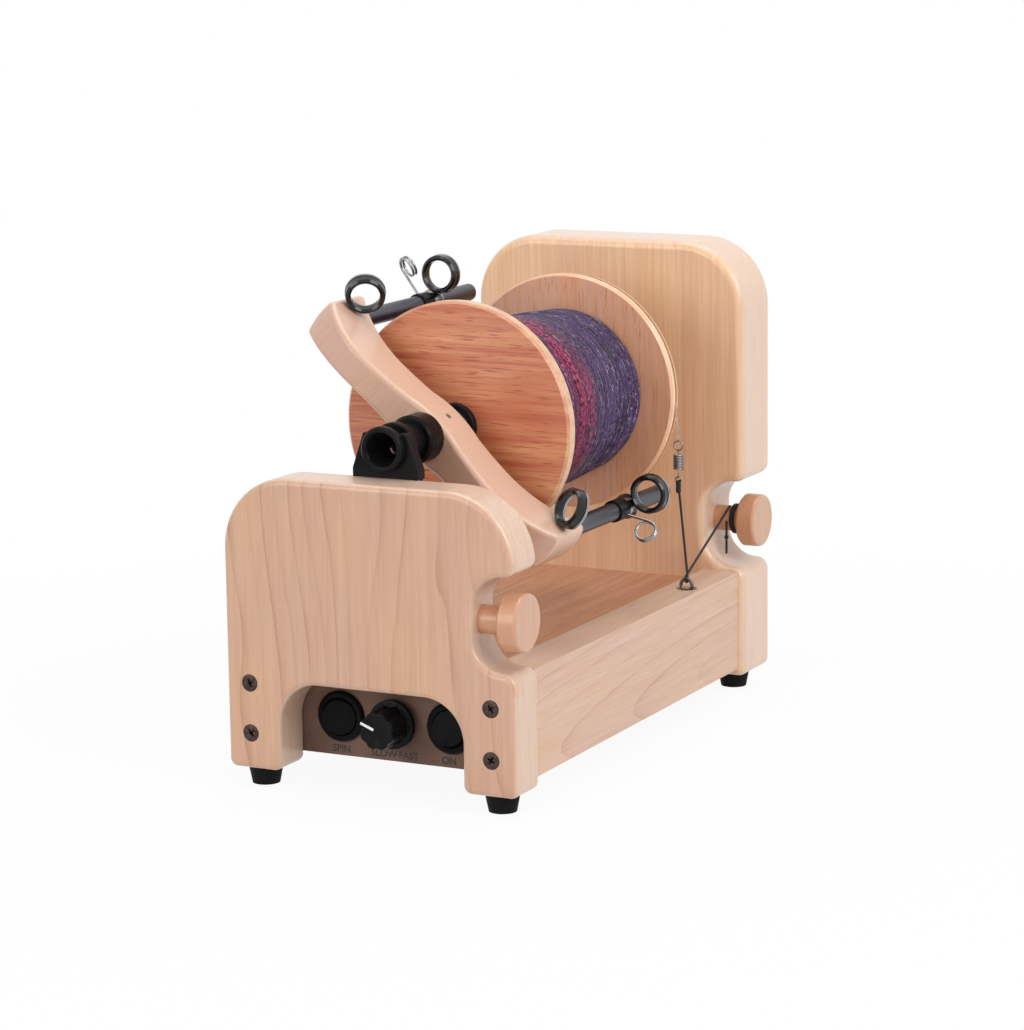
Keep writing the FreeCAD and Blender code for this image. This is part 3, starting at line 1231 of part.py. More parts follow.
class LeaningPlane:
    """The plane through the eye that holds both straight runs of the brake cord."""

    def __init__(self, origin, along, across):
        self.origin = origin
        self.along = along
        self.across = across

    def flat(self, point):
        away = point - self.origin
        return FreeCAD.Vector(away.dot(self.along), away.dot(self.across), 0)

    def lift(self, spot):
        return self.origin + self.along * spot.x + self.across * spot.y

    def lowest(self, point, radius):
        """The point of a circle about a point that lies lowest in the plane."""
        spot = self.flat(point)
        return self.lift(spot - FreeCAD.Vector(0, radius, 0))


def peg_plane(start, hook, peg):
    """The plane of the cord's two runs, with its second axis leaning up."""
    along = (peg - start).normalize()
    up = start - hook
    normal = along.cross(up).normalize()
    across = normal.cross(along).normalize()
    if across.z < 0:
        across = across * -1
    return LeaningPlane(hook, along, across)


# ---------------------------------------------------------------- assembly

wooden_body()
small_fittings()
bearing_bracket()
controls()
tension_knob("front_tension_knob", "front_knob_reach", "front_mid")
tension_knob("rear_tension_knob", "rear_knob_reach", "rear_mid")
flyer()
bobbin()
drive()
electronics()
brake()
document.recompute()

for thing, flyer in pieces.values():
    seat(thing, flyer)
document.recompute()

for thing in document.Objects:
    if "Invalid" in thing.State or "Error" in thing.State:
        raise RuntimeError(f"{thing.Label} did not build: {thing.State}")
for name, (thing, flyer) in pieces.items():
    if thing.Shape.isNull() or not thing.Shape.isValid() or not thing.Shape.Solids:
        raise RuntimeError(f"{name} has no valid solid")

os.makedirs("parts", exist_ok=True)
for name, (thing, flyer) in pieces.items():
    thing.Shape.exportStep(f"parts/{name}.step")
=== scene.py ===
"""Finishes an electric yarn spinner: woods, yarn, screws, controls, brake and a small studio."""

import math

import bmesh
import bpy
from mathutils import Euler, Matrix, Vector


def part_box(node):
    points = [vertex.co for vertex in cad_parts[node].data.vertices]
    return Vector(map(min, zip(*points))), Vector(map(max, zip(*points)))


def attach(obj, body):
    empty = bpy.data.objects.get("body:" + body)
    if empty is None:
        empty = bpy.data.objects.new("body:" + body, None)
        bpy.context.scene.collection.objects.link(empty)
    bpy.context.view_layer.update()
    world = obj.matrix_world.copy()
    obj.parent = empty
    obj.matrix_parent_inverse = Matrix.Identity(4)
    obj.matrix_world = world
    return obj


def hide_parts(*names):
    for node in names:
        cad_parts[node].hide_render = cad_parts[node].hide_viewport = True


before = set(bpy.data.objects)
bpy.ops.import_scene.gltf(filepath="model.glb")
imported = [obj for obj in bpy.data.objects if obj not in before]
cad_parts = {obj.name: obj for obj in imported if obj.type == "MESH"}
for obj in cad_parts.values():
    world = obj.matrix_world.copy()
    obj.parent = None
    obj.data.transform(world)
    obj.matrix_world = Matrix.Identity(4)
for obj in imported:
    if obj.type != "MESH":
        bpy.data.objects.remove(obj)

bl_info = {
    "name": "Yarn Spinner Finish",
    "version": (1, 0, 0),
    "blender": (4, 5, 0),
    "location": "3D View > Sidebar > Spinner",
    "description": "Finishes the pieces of an electric yarn spinner and lights them",
    "category": "Object",
}

MM = 0.001
AXIS_NUMBER = {"X": 0, "Y": 1, "Z": 2}
FRONT_SWELL_LENGTH = 8 * MM    # stretch of yarn that is thinner by the front flange
REAR_TAPER_LENGTH = 40 * MM    # stretch of yarn that thins towards the rear flange
YARN_SIDES = 5
WIRE_SIDES = 10
CAPITAL_SHARE = 0.73           # height of a capital as a share of the text's size
SHARP_ANGLE = math.radians(35)


def tint(red, green, blue):
    """A colour as it looks on a screen, 0 to 255, as scene linear values."""
    shares = [channel / 255 for channel in (red, green, blue)]
    return tuple(share / 12.92 if share <= 0.04045 else ((share + 0.055) / 1.055) ** 2.4
                 for share in shares)


def middle(node):
    """The middle of a frame node's box."""
    low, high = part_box(node)
    return (low + high) / 2


FLYER_AXIS = middle("bobbin_front_flange")
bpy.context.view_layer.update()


def colour_setting(name, description, red, green, blue):
    return bpy.props.FloatVectorProperty(
        name=name, description=description, subtype="COLOR", size=3, min=0, max=1,
        default=tint(red, green, blue))


def length_setting(name, description, default):
    return bpy.props.FloatProperty(
        name=name, description=description, subtype="DISTANCE", unit="LENGTH", min=0, default=default)


class WoodSettings(bpy.types.PropertyGroup):
    panel_pale: colour_setting("Panel pale", "Pale wood of the front panel", 214, 172, 144)
    panel_deep: colour_setting("Panel deep", "Darker streaks of the front panel", 200, 154, 123)
    panel_line: colour_setting("Panel line", "Growth lines of the front panel", 160, 102, 74)
    panel_edge: colour_setting("Panel edge", "Sides and tops of the upright panels", 216, 188, 166)
    rear_pale: colour_setting("Rear pale", "Pale wood of the rear panel", 240, 202, 164)
    rear_deep: colour_setting("Rear deep", "Darker streaks of the rear panel", 224, 176, 136)
    rear_edge: colour_setting("Rear edge", "Sides and top of the rear panel", 222, 196, 176)
    rail_pale: colour_setting("Rail pale", "Pale wood of the rails", 214, 178, 154)
    deck_pale: colour_setting("Deck pale", "Pale wood of the deck", 205, 148, 108)
    deck_deep: colour_setting("Deck deep", "Darker streaks of the deck", 176, 108, 74)
    deck_line: colour_setting("Deck line", "Growth lines of the deck", 150, 84, 56)
    bar_pale: colour_setting("Bar pale", "Pale wood of the flyer's bar", 210, 168, 147)
    bar_edge: colour_setting("Bar edge", "Upper and lower sides of the flyer's bar", 216, 180, 158)
    flange_pale: colour_setting("Flange pale", "Pale wood of the bobbin's front flange", 228, 164, 116)
    flange_deep: colour_setting("Flange deep", "Darker streaks of the front flange", 190, 102, 68)
    flange_line: colour_setting("Flange line", "Growth lines of the front flange", 160, 76, 50)
    rear_flange: colour_setting("Rear flange", "Pale wood of the bobbin's rear flange", 222, 170, 144)
    flange_edge: colour_setting("Flange rim", "Turned rim of the bobbin flanges", 222, 186, 148)
    rear_rim: colour_setting("Rear rim", "Turned rim of the rear flange", 250, 216, 172)
    knob_face: colour_setting("Knob face", "Flat faces of the tension knobs", 204, 164, 138)
    knob_deep: colour_setting("Knob wood", "Turned side of the tension knobs", 204, 150, 114)


class YarnSettings(bpy.types.PropertyGroup):
    strand_radius: length_setting("Strand radius", "Half the thickness of the yarn", 0.5 * MM)
    close_turns: bpy.props.IntProperty(
        name="Close turns", description="Turns that lie side by side", min=10, default=124)
    crossing_turns: bpy.props.IntProperty(
        name="Crossing turns", description="Turns that cross over the close ones", min=2, default=44)
    wander: length_setting("Wander", "How far a turn strays along the bobbin", 1.6 * MM)
    seed: bpy.props.IntProperty(name="Seed", description="Fixes how the turns stray", default=7)
    violet: colour_setting("Violet", "Main colour of the yarn", 98, 60, 130)
    plum: colour_setting("Plum", "Darkest colour of the yarn", 38, 12, 48)
    lilac: colour_setting("Lilac", "Pale flecks in the yarn", 206, 188, 218)
    magenta: colour_setting("Magenta", "Red stretch of the yarn", 196, 56, 106)


class FittingSettings(bpy.types.PropertyGroup):
    recess_reach: length_setting("Recess reach", "Half the width of a screw's cross recess", 2.3 * MM)
    recess_width: length_setting("Recess width", "Width of one arm of the recess", 1.1 * MM)
    recess_depth: length_setting("Recess depth", "Depth of the recess", 2.0 * MM)
    flutes: bpy.props.IntProperty(
        name="Flutes", description="Finger hollows round the speed knob", min=3, default=8)
    flute_depth: length_setting("Flute depth", "Depth of a finger hollow", 0.9 * MM)
    pointer_angle: bpy.props.FloatProperty(
        name="Pointer angle", description="Where the speed knob points", subtype="ANGLE",
        default=math.radians(158))
    letter_height: length_setting("Letter height", "Height of the control plate's capitals", 3.5 * MM)
    black: colour_setting("Black", "Moulded black plastic", 15, 15, 16)
    plate: colour_setting("Control plate", "Face of the control plate", 110, 87, 76)
    screw: colour_setting("Screw", "Blackened steel of the screws", 66, 52, 48)
    rod: colour_setting("Rod", "Dark steel of the flyer's rods", 92, 94, 102)


class StudioSettings(bpy.types.PropertyGroup):
    key: bpy.props.FloatProperty(
        name="Key light", description="Power of the large light on the right", unit="POWER", default=17)
    fill: bpy.props.FloatProperty(
        name="Fill light", description="Power of the light on the left", unit="POWER", default=26)
    top: bpy.props.FloatProperty(
        name="Top light", description="Power of the light overhead", unit="POWER", default=9)
    sky: bpy.props.FloatProperty(name="Sky", description="Strength of the even light all round", default=0.5)
    lens: bpy.props.FloatProperty(
        name="Lens", description="Focal length of the camera", unit="CAMERA", default=120.87)
    floor_shade: bpy.props.FloatProperty(
        name="Floor shade", description="How much of the floor's own shading shows",
        subtype="FACTOR", min=0, max=1, default=0.07)


# ---------------------------------------------------------------- node helpers

class Wire:
    """A node's output socket, with the sums that Math nodes do."""

    def __init__(self, socket):
        self.socket = socket
        self.tree = socket.id_data

    def __add__(self, other):
        return maths("ADD", self, other)

    def __sub__(self, other):
        return maths("SUBTRACT", self, other)

    def __mul__(self, other):
        return maths("MULTIPLY", self, other)

    def __truediv__(self, other):
        return maths("DIVIDE", self, other)


def feed(node, values):
    """Link wires to a node's inputs and set the rest as plain values."""
    for name, value in values.items():
        if isinstance(value, Wire):
            value.tree.links.new(value.socket, node.inputs[name])
        else:
            node.inputs[name].default_value = value


def add(tree, kind, inputs=None, **settings):
    """Add a node, set it up and feed it."""
    node = tree.nodes.new(kind)
    for name, value in settings.items():
        setattr(node, name, value)
    feed(node, inputs or {})
    return node


def out(tree, kind, inputs=None, output=0, **settings):
    """Add a node and give the wire from one of its outputs."""
    return Wire(add(tree, kind, inputs, **settings).outputs[output])


def maths(operation, first, second=0.0, clamp=False):
    """One Math node, fed by wires and numbers."""
    wire = first if isinstance(first, Wire) else second
    return out(wire.tree, "ShaderNodeMath", {0: first, 1: second}, operation=operation, use_clamp=clamp)


def spread(value, low, high, to_low=0.0, to_high=1.0, smooth=False):
    """Map a value from one range to another, held at the ends."""
    return out(value.tree, "ShaderNodeMapRange",
               {"Value": value, "From Min": low, "From Max": high, "To Min": to_low, "To Max": to_high},
               "Result", interpolation_type="SMOOTHSTEP" if smooth else "LINEAR")


def blend_colour(factor, first, second, mode="MIX"):
    """Mix two colours; each can be a wire or a plain colour, and at least one value is a wire."""
    tree = next(value.tree for value in (factor, first, second) if isinstance(value, Wire))
    node = add(tree, "ShaderNodeMix", {"Factor": factor}, data_type="RGBA", blend_type=mode)
    slots = [index for index, slot in enumerate(node.inputs) if slot.type == "RGBA"]
    for slot, value in zip(slots, (first, second)):
        feed(node, {slot: value if isinstance(value, Wire) else (*value, 1)})
    return Wire([slot for slot in node.outputs if slot.type == "RGBA"][0])


def noise(vector, scale, detail=2.0, roughness=0.5):
    return out(vector.tree, "ShaderNodeTexNoise",
               {"Vector": vector, "Scale": scale, "Detail": detail, "Roughness": roughness})


def line_noise(along, scale, detail=2.0, roughness=0.5):
    """Noise along a single value."""
    return out(along.tree, "ShaderNodeTexNoise",
               {"W": along, "Scale": scale, "Detail": detail, "Roughness": roughness}, noise_dimensions="1D")


def channels(tree, red, green, blue):
    return out(tree, "ShaderNodeCombineColor", {"Red": red, "Green": green, "Blue": blue})


def point(tree, x=0.0, y=0.0, z=0.0):
    return out(tree, "ShaderNodeCombineXYZ", {"X": x, "Y": y, "Z": z})


def empty_tree(owner):
    """The node tree of a new material or world, with nothing in it."""
    owner.use_nodes = True
    owner.node_tree.nodes.clear()
    return owner.node_tree


def new_material(name):
    """A material with only a principled shader, and the place that its textures go by."""
    material = bpy.data.materials.new(name)
    tree = empty_tree(material)
    shader = add(tree, "ShaderNodeBsdfPrincipled")
    add(tree, "ShaderNodeOutputMaterial", {"Surface": Wire(shader.outputs["BSDF"])})
    return material, shader, out(tree, "ShaderNodeTexCoord", output="Object")


def bumpy(shader, height, strength, depth):
    """Let a height wire raise the surface."""
    feed(shader, {"Normal": out(height.tree, "ShaderNodeBump",
                                {"Height": height, "Strength": strength, "Distance": depth}, "Normal")})


def toned(colour, gain, lift):
    """A lighter or darker tone of a colour, held at white."""
    return tuple(min(1.0, channel * gain + lift) for channel in colour)


# ---------------------------------------------------------------- materials

def wood(name, pale, deep, line, edge=None, grain="Z", face="Y", turn=0.0, seed=0.0, pith=(0.02, 0.1),
         slope=0.12, spacing=0.009, wander=0.012, lines=0.6, streaks=0.5, crisp=11.0, faintest=0.25,
         flecks=0.0, patches=0.0, lacquer=0.55):
    """Lacquered wood cut from a log: growth rings round a distant pith that the grain runs along."""
    material, shader, spot = new_material(name)
    tree = spot.tree
    level = out(tree, "ShaderNodeVectorRotate", {"Vector": spot, "Angle": turn}, rotation_type="Y_AXIS")

    def stretched(share):
        scale = [1.0, 1.0, 1.0]
        scale[AXIS_NUMBER[grain]] = share
        return out(tree, "ShaderNodeMapping",
                   {"Vector": level, "Location": (seed, seed * 0.7, seed * 1.3), "Scale": scale})

    def along(axis):
        return out(tree, "ShaderNodeSeparateXYZ", {0: level}, axis)

    # growth rings: how far each spot lies from the pith, bent a little by noise
    across, depth = {"X": "ZY", "Y": "XZ", "Z": "XY"}[grain]
    bend = (noise(stretched(0.3), 11.0, 2.0, 0.45) - 0.5) * wander
    sway = (noise(stretched(0.12), 60.0) - 0.5) * (wander * 0.1)
    side = along(across) - pith[0] + along(grain) * slope + bend
    down = along(depth) - pith[1] + bend * 1.7
    rings = (maths("SQRT", side * side + down * down) + sway) / spacing
    growth = maths("FRACT", rings)
    chance = out(tree, "ShaderNodeTexWhiteNoise", {"W": maths("FLOOR", rings)}, noise_dimensions="1D")
    late = maths("POWER", growth, crisp) * spread(chance, 0.0, 1.0, faintest, 1.0)

    # streaks, growth lines, short dashes, clouds and patches, in that order
    streak = noise(stretched(0.03), 240.0, 3.0, 0.62)
    fibre = noise(stretched(0.025), 1500.0, 2.0, 0.6)
    streaked = maths("ADD", spread(streak, 0.34, 0.68, 0.0, streaks), growth * 0.12, clamp=True)
    body = blend_colour(streaked, pale, deep)
    broken = spread(noise(stretched(0.4), 45.0), 0.38, 0.6, 0.35, 1.0)
    body = blend_colour(maths("MULTIPLY", late * broken, lines, clamp=True), body, line)
    body = blend_colour(spread(noise(stretched(0.07), 1100.0), 0.58, 0.68, 0.0, flecks), body, line)
    cloud = noise(stretched(0.45), 26.0)
    mottle = channels(tree, spread(cloud, 0.35, 0.65, 0.96, 1.0), spread(cloud, 0.35, 0.65, 0.95, 1.0),
                      spread(cloud, 0.35, 0.65, 1.0, 0.93))
    body = blend_colour(1.0, body, mottle, "MULTIPLY")
    body = blend_colour(spread(noise(stretched(0.3), 34.0), 0.42, 0.6, 0.0, patches), body, deep)
    if edge is not None:
        normal = out(tree, "ShaderNodeTexCoord", output="Normal")
        facing = maths("ABSOLUTE", out(tree, "ShaderNodeSeparateXYZ", {0: normal}, face))
        faint = spread(streak, 0.34, 0.68, 0.0, streaks * 0.5)
        grained = maths("ADD", late * (lines * 0.6), faint, clamp=True)
        rim = blend_colour(grained, edge, deep)
        body = blend_colour(spread(facing, 0.45, 0.9, smooth=True), rim, body)
    pores = channels(tree, *(spread(fibre, 0.3, 0.6, least, 1.0) for least in (0.94, 0.9, 0.87)))
    feed(shader, {"Base Color": blend_colour(1.0, body, pores, "MULTIPLY"),
                  "Roughness": spread(fibre, 0.3, 0.7, 0.5, 0.38),
                  "Coat Weight": lacquer, "Coat Roughness": 0.2})
    bumpy(shader, fibre, 0.1, 0.0002)
    return material


def plastic(name, colour, roughness=0.4, grit=0.1, scale=1800.0, shine=0.1):
    """Moulded plastic or rubber with a fine skin."""
    material, shader, spot = new_material(name)
    skin = noise(spot, scale, 3.0, 0.6)
    cloud = spread(noise(spot, 60.0), 0.3, 0.7)
    feed(shader, {"Base Color": blend_colour(cloud, colour, toned(colour, 1.35, 0.004)),
                  "Roughness": spread(skin, 0.3, 0.7, roughness - 0.06, roughness + 0.08),
                  "Specular IOR Level": shine})
    bumpy(shader, skin, grit, 0.00015)
    return material


def metal(name, colour, roughness=0.25, brushed="Y", depth=0.06):
    """Metal with fine turning or drawing lines across one axis."""
    material, shader, spot = new_material(name)
    scale = [0.12, 0.12, 0.12]
    scale[AXIS_NUMBER[brushed]] = 1.0
    lines = noise(out(spot.tree, "ShaderNodeMapping", {"Vector": spot, "Scale": scale}), 3200.0)
    smudge = noise(spot, 90.0, 3.0, 0.6)
    rough = spread(lines, 0.3, 0.7, roughness - 0.05, roughness + 0.05) + spread(smudge, 0.35, 0.7, 0.0, 0.07)
    feed(shader, {"Base Color": blend_colour(spread(smudge, 0.3, 0.7), toned(colour, 0.82, 0.0), colour),
                  "Metallic": 1.0, "Roughness": rough})
    bumpy(shader, lines, depth, 0.0001)
    return material


def blackened_steel(name, colour):
    """Screw steel: black oxide that is rubbed brown in patches."""
    material, shader, spot = new_material(name)
    wear = noise(spot, 700.0, 4.0, 0.65)
    worn = spread(wear, 0.45, 0.8, 0.0, 0.7)
    feed(shader, {"Base Color": blend_colour(worn, colour, toned(colour, 2.6, 0.02)), "Metallic": 0.85,
                  "Roughness": spread(wear, 0.3, 0.7, 0.3, 0.48)})
    bumpy(shader, wear, 0.1, 0.0001)
    return material


def cord_material(name, colour):
    """Braided cord: short slanted stitches along and across its run."""
    material, shader, spot = new_material(name)
    wave = {"Vector": spot, "Scale": 900.0, "Distortion": 2.0, "Detail": 1.0}
    braid = out(spot.tree, "ShaderNodeTexWave", wave, 1, bands_direction="DIAGONAL")
    stitches = braid * noise(spot, 2600.0)
    feed(shader, {"Base Color": blend_colour(stitches, colour, toned(colour, 3, 0.01)), "Roughness": 0.75})
    bumpy(shader, braid, 0.4, 0.0002)
    return material


def clear_line(name):
    """Clear nylon line, slightly milky."""
    material, shader, spot = new_material(name)
    haze = noise(spot, 260.0)
    feed(shader, {"Base Color": blend_colour(haze, tint(214, 208, 200), tint(240, 236, 230)),
                  "Roughness": spread(haze, 0.3, 0.7, 0.16, 0.3), "Transmission Weight": 0.75, "IOR": 1.45})
    return material


def circuit_material(name):
    """Green board: lacquered copper tracks on a square grid."""
    material, shader, spot = new_material(name)
    tracks = out(spot.tree, "ShaderNodeTexBrick",
                 {"Vector": spot, "Scale": 160.0, "Mortar Size": 0.03, "Color1": (*tint(24, 92, 58), 1),
                  "Color2": (*tint(30, 104, 64), 1), "Mortar": (*tint(90, 140, 80), 1)}, "Color")
    feed(shader, {"Base Color": tracks, "Roughness": 0.4})
    bumpy(shader, noise(spot, 500.0), 0.1, 0.0001)
    return material


def printed_ink(name):
    """Screen-printed lettering, thin in places."""
    material, shader, spot = new_material(name)
    thin = spread(noise(spot, 1500.0, 3.0), 0.5, 0.8, 0.0, 0.4)
    feed(shader, {"Base Color": blend_colour(thin, tint(26, 21, 19), tint(70, 56, 50)), "Roughness": 0.55})
    return material


def yarn_material(settings, low, high):
    """Space-dyed handspun yarn: colour runs along the strand, with flecks, a red stretch and painted shade in
    the grooves of the twist.
    """
    material, shader, spot = new_material("space_dyed_yarn")
    tree = spot.tree
    along = out(tree, "ShaderNodeAttribute", output="Fac", attribute_name="turn")
    share = spread(out(tree, "ShaderNodeSeparateXYZ", {0: spot}, "Y"), low, high)
    ply = line_noise(along * 60.0, 2.0)
    dye = line_noise(along, 1.3, 3.0, 0.65)
    ring = out(tree, "ShaderNodeMapping", {"Vector": spot, "Scale": (0.16, 1.0, 0.16)})
    tone = dye * 0.6 + noise(ring, 300.0, 3.0, 0.6) * 0.4
    base = blend_colour(spread(tone, 0.42, 0.56), settings.plum, settings.violet)
    glint = noise(ring, 900.0, 2.0, 0.55)
    base = blend_colour(spread(glint, 0.55, 0.7, 0.0, 0.7), base, settings.lilac)
    from_red = maths("ABSOLUTE", share + (dye - 0.5) * 0.3 - 0.4)
    red_share = spread(from_red, 0.06, 0.15, 1.0, 0.0) * spread(tone, 0.4, 0.54, 0.15, 0.95)
    base = blend_colour(red_share, base, settings.magenta)
    base = blend_colour(spread(noise(ring, 70.0), 0.36, 0.56, 0.55, 0.0), base, settings.plum)
    # painted shade: a darkened copy of the yarn's colour, laid where the ply noise marks the grooves between
    # the twisted plies
    painted_groove_shade = blend_colour(1.0, base, tint(74, 62, 84), "MULTIPLY")
    feed(shader, {"Base Color": blend_colour(spread(ply, 0.38, 0.6), painted_groove_shade, base), "Roughness": 0.62,
                  "Sheen Weight": 0.12, "Sheen Roughness": 0.4})
    bumpy(shader, ply + noise(spot, 750.0, 3.0, 0.7), 0.5, 0.0003)
    return material


def coat(material, *nodes):
    """Give frame nodes a finish."""
    for name in nodes:
        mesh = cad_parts[name].data
        mesh.materials.clear()
        mesh.materials.append(material)


# ---------------------------------------------------------------- mesh helpers

def put(name, data):
    """A new object in the scene."""
    piece = bpy.data.objects.new(name, data)
    bpy.context.scene.collection.objects.link(piece)
    return piece


def link_mesh(name, mesh, material=None):
    """A new object for a mesh, with its finish."""
    piece = put(name, mesh)
    if material is not None:
        mesh.materials.clear()
        mesh.materials.append(material)
    return piece


def smooth(mesh):
    """Shade smooth, apart from edges sharper than the limit."""
    mesh.shade_smooth()
    mesh.set_sharp_from_angle(angle=SHARP_ANGLE)


def kept(name, work, material):
    """Turn the working mesh's faces outward and keep it as an object."""
    bmesh.ops.recalc_face_normals(work, faces=work.faces)
    mesh = bpy.data.meshes.new(name)
    work.to_mesh(mesh)
    work.free()
    return link_mesh(name, mesh, material)


def turned(name, profile, centre, axis="Y", steps=64, shape=None, material=None):
    """Turn an open profile of (radius, along) pairs round Y or Z. Its ends on the axis close the mesh."""
    work = bmesh.new()
    rings = []
    for radius, along in profile:
        count = 1 if radius == 0 else steps
        ring = []
        for step in range(count):
            angle = 2 * math.pi * step / steps
            reach = radius if shape is None else shape(radius, along, angle)
            across, up = reach * math.cos(angle), reach * math.sin(angle)
            spot = (across, along, up) if axis == "Y" else (across, up, along)
            ring.append(work.verts.new(Vector(spot) + centre))
        rings.append(ring)
    for first, second in zip(rings, rings[1:]):
        for step in range(steps):
            after = (step + 1) % steps
            corners = [first[step % len(first)], first[after % len(first)],
                       second[after % len(second)], second[step % len(second)]]
            corners = [corner for index, corner in enumerate(corners) if corner not in corners[:index]]
            if len(corners) > 2:
                work.faces.new(corners)
    piece = kept(name, work, material)
    smooth(piece.data)
    return piece


def prism(name, outline, low, high, material=None, taper=1.0):
    """Stretch an outline of (x, z) pairs from low y to high y, and narrow it towards high."""
    work = bmesh.new()
    near = [work.verts.new((x, low, z)) for x, z in outline]
    far = [work.verts.new((x * taper, high, z * taper)) for x, z in outline]
    work.faces.new(near)
    work.faces.new(far)
    for index in range(len(outline)):
        after = (index + 1) % len(outline)
        work.faces.new((near[index], near[after], far[after], far[index]))
    return kept(name, work, material)


def settle(piece):
    """Turn a piece and its modifiers into one plain mesh in place."""
    shown = piece.evaluated_get(bpy.context.evaluated_depsgraph_get())
    mesh = bpy.data.meshes.new_from_object(shown)
    piece.modifiers.clear()
    if piece.type == "MESH":
        piece.data = mesh
        return piece
    plain = link_mesh(piece.name + "_mesh", mesh)
    mesh.transform(piece.matrix_world)
    bpy.data.objects.remove(piece)
    return plain


def joined(name, pieces):
    """Merge several mesh pieces into one."""
    work = bmesh.new()
    for piece in pieces:
        work.from_mesh(piece.data)
    mesh = bpy.data.meshes.new(name)
    work.to_mesh(mesh)
    work.free()
    for material in pieces[0].data.materials:
        mesh.materials.append(material)
    for piece in pieces:
        bpy.data.objects.remove(piece)
    return link_mesh(name, mesh)


def node_group(name, sockets):
    """A geometry node group with named inputs; gives the group, its inputs and its output node."""
    tree = bpy.data.node_groups.new(name, "GeometryNodeTree")
    for label, kind in sockets.items():
        tree.interface.new_socket(label, in_out="INPUT", socket_type="NodeSocket" + kind)
    tree.interface.new_socket("Geometry", in_out="OUTPUT", socket_type="NodeSocketGeometry")
    given = {slot.name: Wire(slot) for slot in tree.nodes.new("NodeGroupInput").outputs if slot.name}
    return tree, given, tree.nodes.new("NodeGroupOutput")


def finish_group(tree, output, geometry, material):
    """End a group in realised, smooth, finished geometry."""
    real = out(tree, "GeometryNodeRealizeInstances", {"Geometry": geometry})
    soft = out(tree, "GeometryNodeSetShadeSmooth", {"Geometry": real})
    feed(output, {"Geometry": out(tree, "GeometryNodeSetMaterial", {"Geometry": soft, "Material": material})})


def grow(name, tree, values, spots=((0, 0, 0),)):
    """Run a geometry node group on a mesh of points and keep the result as a plain mesh."""
    seeds = bpy.data.meshes.new(name)
    seeds.from_pydata([tuple(spot) for spot in spots], [], [])
    piece = link_mesh(name, seeds)
    modifier = piece.modifiers.new(tree.name, "NODES")
    modifier.node_group = tree
    for item in tree.interface.items_tree:
        if item.item_type == "SOCKET" and item.in_out == "INPUT" and item.name in values:
            modifier[item.identifier] = values[item.name]
    return settle(piece)


def strand_through(tree, count, spot, gauge, sides, turn=None, thickness=None):
    """A round strand through as many points as asked for, each set where its wire says."""
    line = out(tree, "GeometryNodeMeshLine", {"Count": count})
    laid = out(tree, "GeometryNodeSetPosition", {"Geometry": line, "Position": spot})
    if turn is not None:
        laid = out(tree, "GeometryNodeStoreNamedAttribute", {"Geometry": laid, "Name": "turn", "Value": turn},
                   data_type="FLOAT", domain="POINT")
    strand = out(tree, "GeometryNodeMeshToCurve", {"Mesh": laid})
    ring = out(tree, "GeometryNodeCurvePrimitiveCircle", {"Resolution": sides, "Radius": gauge})
    values = {"Curve": strand, "Profile Curve": ring, "Fill Caps": True}
    if thickness is not None:
        values["Scale"] = thickness
    return out(tree, "GeometryNodeCurveToMesh", values)


def winding_group():
    """Yarn laid round a bobbin: a long strand that travels to and fro, strays and thickens."""
    tree, given, output = node_group("yarn_winding", {
        "Turns": "Int", "Points per turn": "Int", "Passes": "Float", "Strand radius": "Float",
        "Radius": "Float", "Front": "Float", "Length": "Float", "Front swell": "Float", "Rear taper": "Float",
        "Wander": "Float", "Pile": "Float", "Centre": "Vector", "Seed": "Float", "Material": "Material"})
    count = given["Turns"] * given["Points per turn"]
    index = out(tree, "GeometryNodeInputIndex")
    turn = index / given["Points per turn"]
    angle = turn * math.tau
    travel = maths("PINGPONG", index / count * given["Passes"], 1.0)

    def stray(scale, offset):
        return line_noise(turn * scale + (given["Seed"] + offset), 1.0) - 0.5

    along = travel * given["Length"]
    from_rear = given["Length"] - along
    edge = maths("MINIMUM", along, from_rear) * 0.8
    swing = stray(1.7, 0.0) * (given["Wander"] * 2.0)
    held = maths("MAXIMUM", maths("MINIMUM", swing, edge), edge * -1.0)
    front_loss = spread(along, 0.0, FRONT_SWELL_LENGTH, 1.0, 0.0) * given["Front swell"]
    rear_loss = spread(from_rear, 0.0, REAR_TAPER_LENGTH, 1.0, 0.0, True) * given["Rear taper"]
    pile = maths("ABSOLUTE", stray(3.1, 40.0)) * given["Pile"]
    reach = given["Radius"] - (front_loss + rear_loss) - given["Strand radius"] * 1.3 - pile
    spot = point(tree, reach * maths("COSINE", angle), given["Front"] + along + held,
                 reach * maths("SINE", angle))
    centred = out(tree, "ShaderNodeVectorMath", {0: spot, 1: given["Centre"]}, operation="ADD")
    thickness = stray(9.0, 80.0) * 0.9 + 1.0
    body = strand_through(tree, count, centred, given["Strand radius"], YARN_SIDES, turn, thickness)
    finish_group(tree, output, body, given["Material"])
    return tree


def coil_group():
    """A coil of wire or cord along Z, then turned and moved into place."""
    tree, given, output = node_group("wire_coil", {
        "Turns": "Float", "Points": "Int", "Coil radius": "Float", "Wire radius": "Float", "Height": "Float",
        "Start": "Float", "Rotation": "Rotation", "Place": "Vector", "Material": "Material"})
    share = out(tree, "GeometryNodeInputIndex") / (given["Points"] - 1)
    angle = given["Start"] + share * given["Turns"] * math.tau
    reach = given["Coil radius"]
    spot = point(tree, reach * maths("COSINE", angle), reach * maths("SINE", angle), share * given["Height"])
    body = strand_through(tree, given["Points"], spot, given["Wire radius"], WIRE_SIDES)
    moved = out(tree, "GeometryNodeTransform",
                {"Geometry": body, "Translation": given["Place"], "Rotation": given["Rotation"]})
    finish_group(tree, output, moved, given["Material"])
    return tree


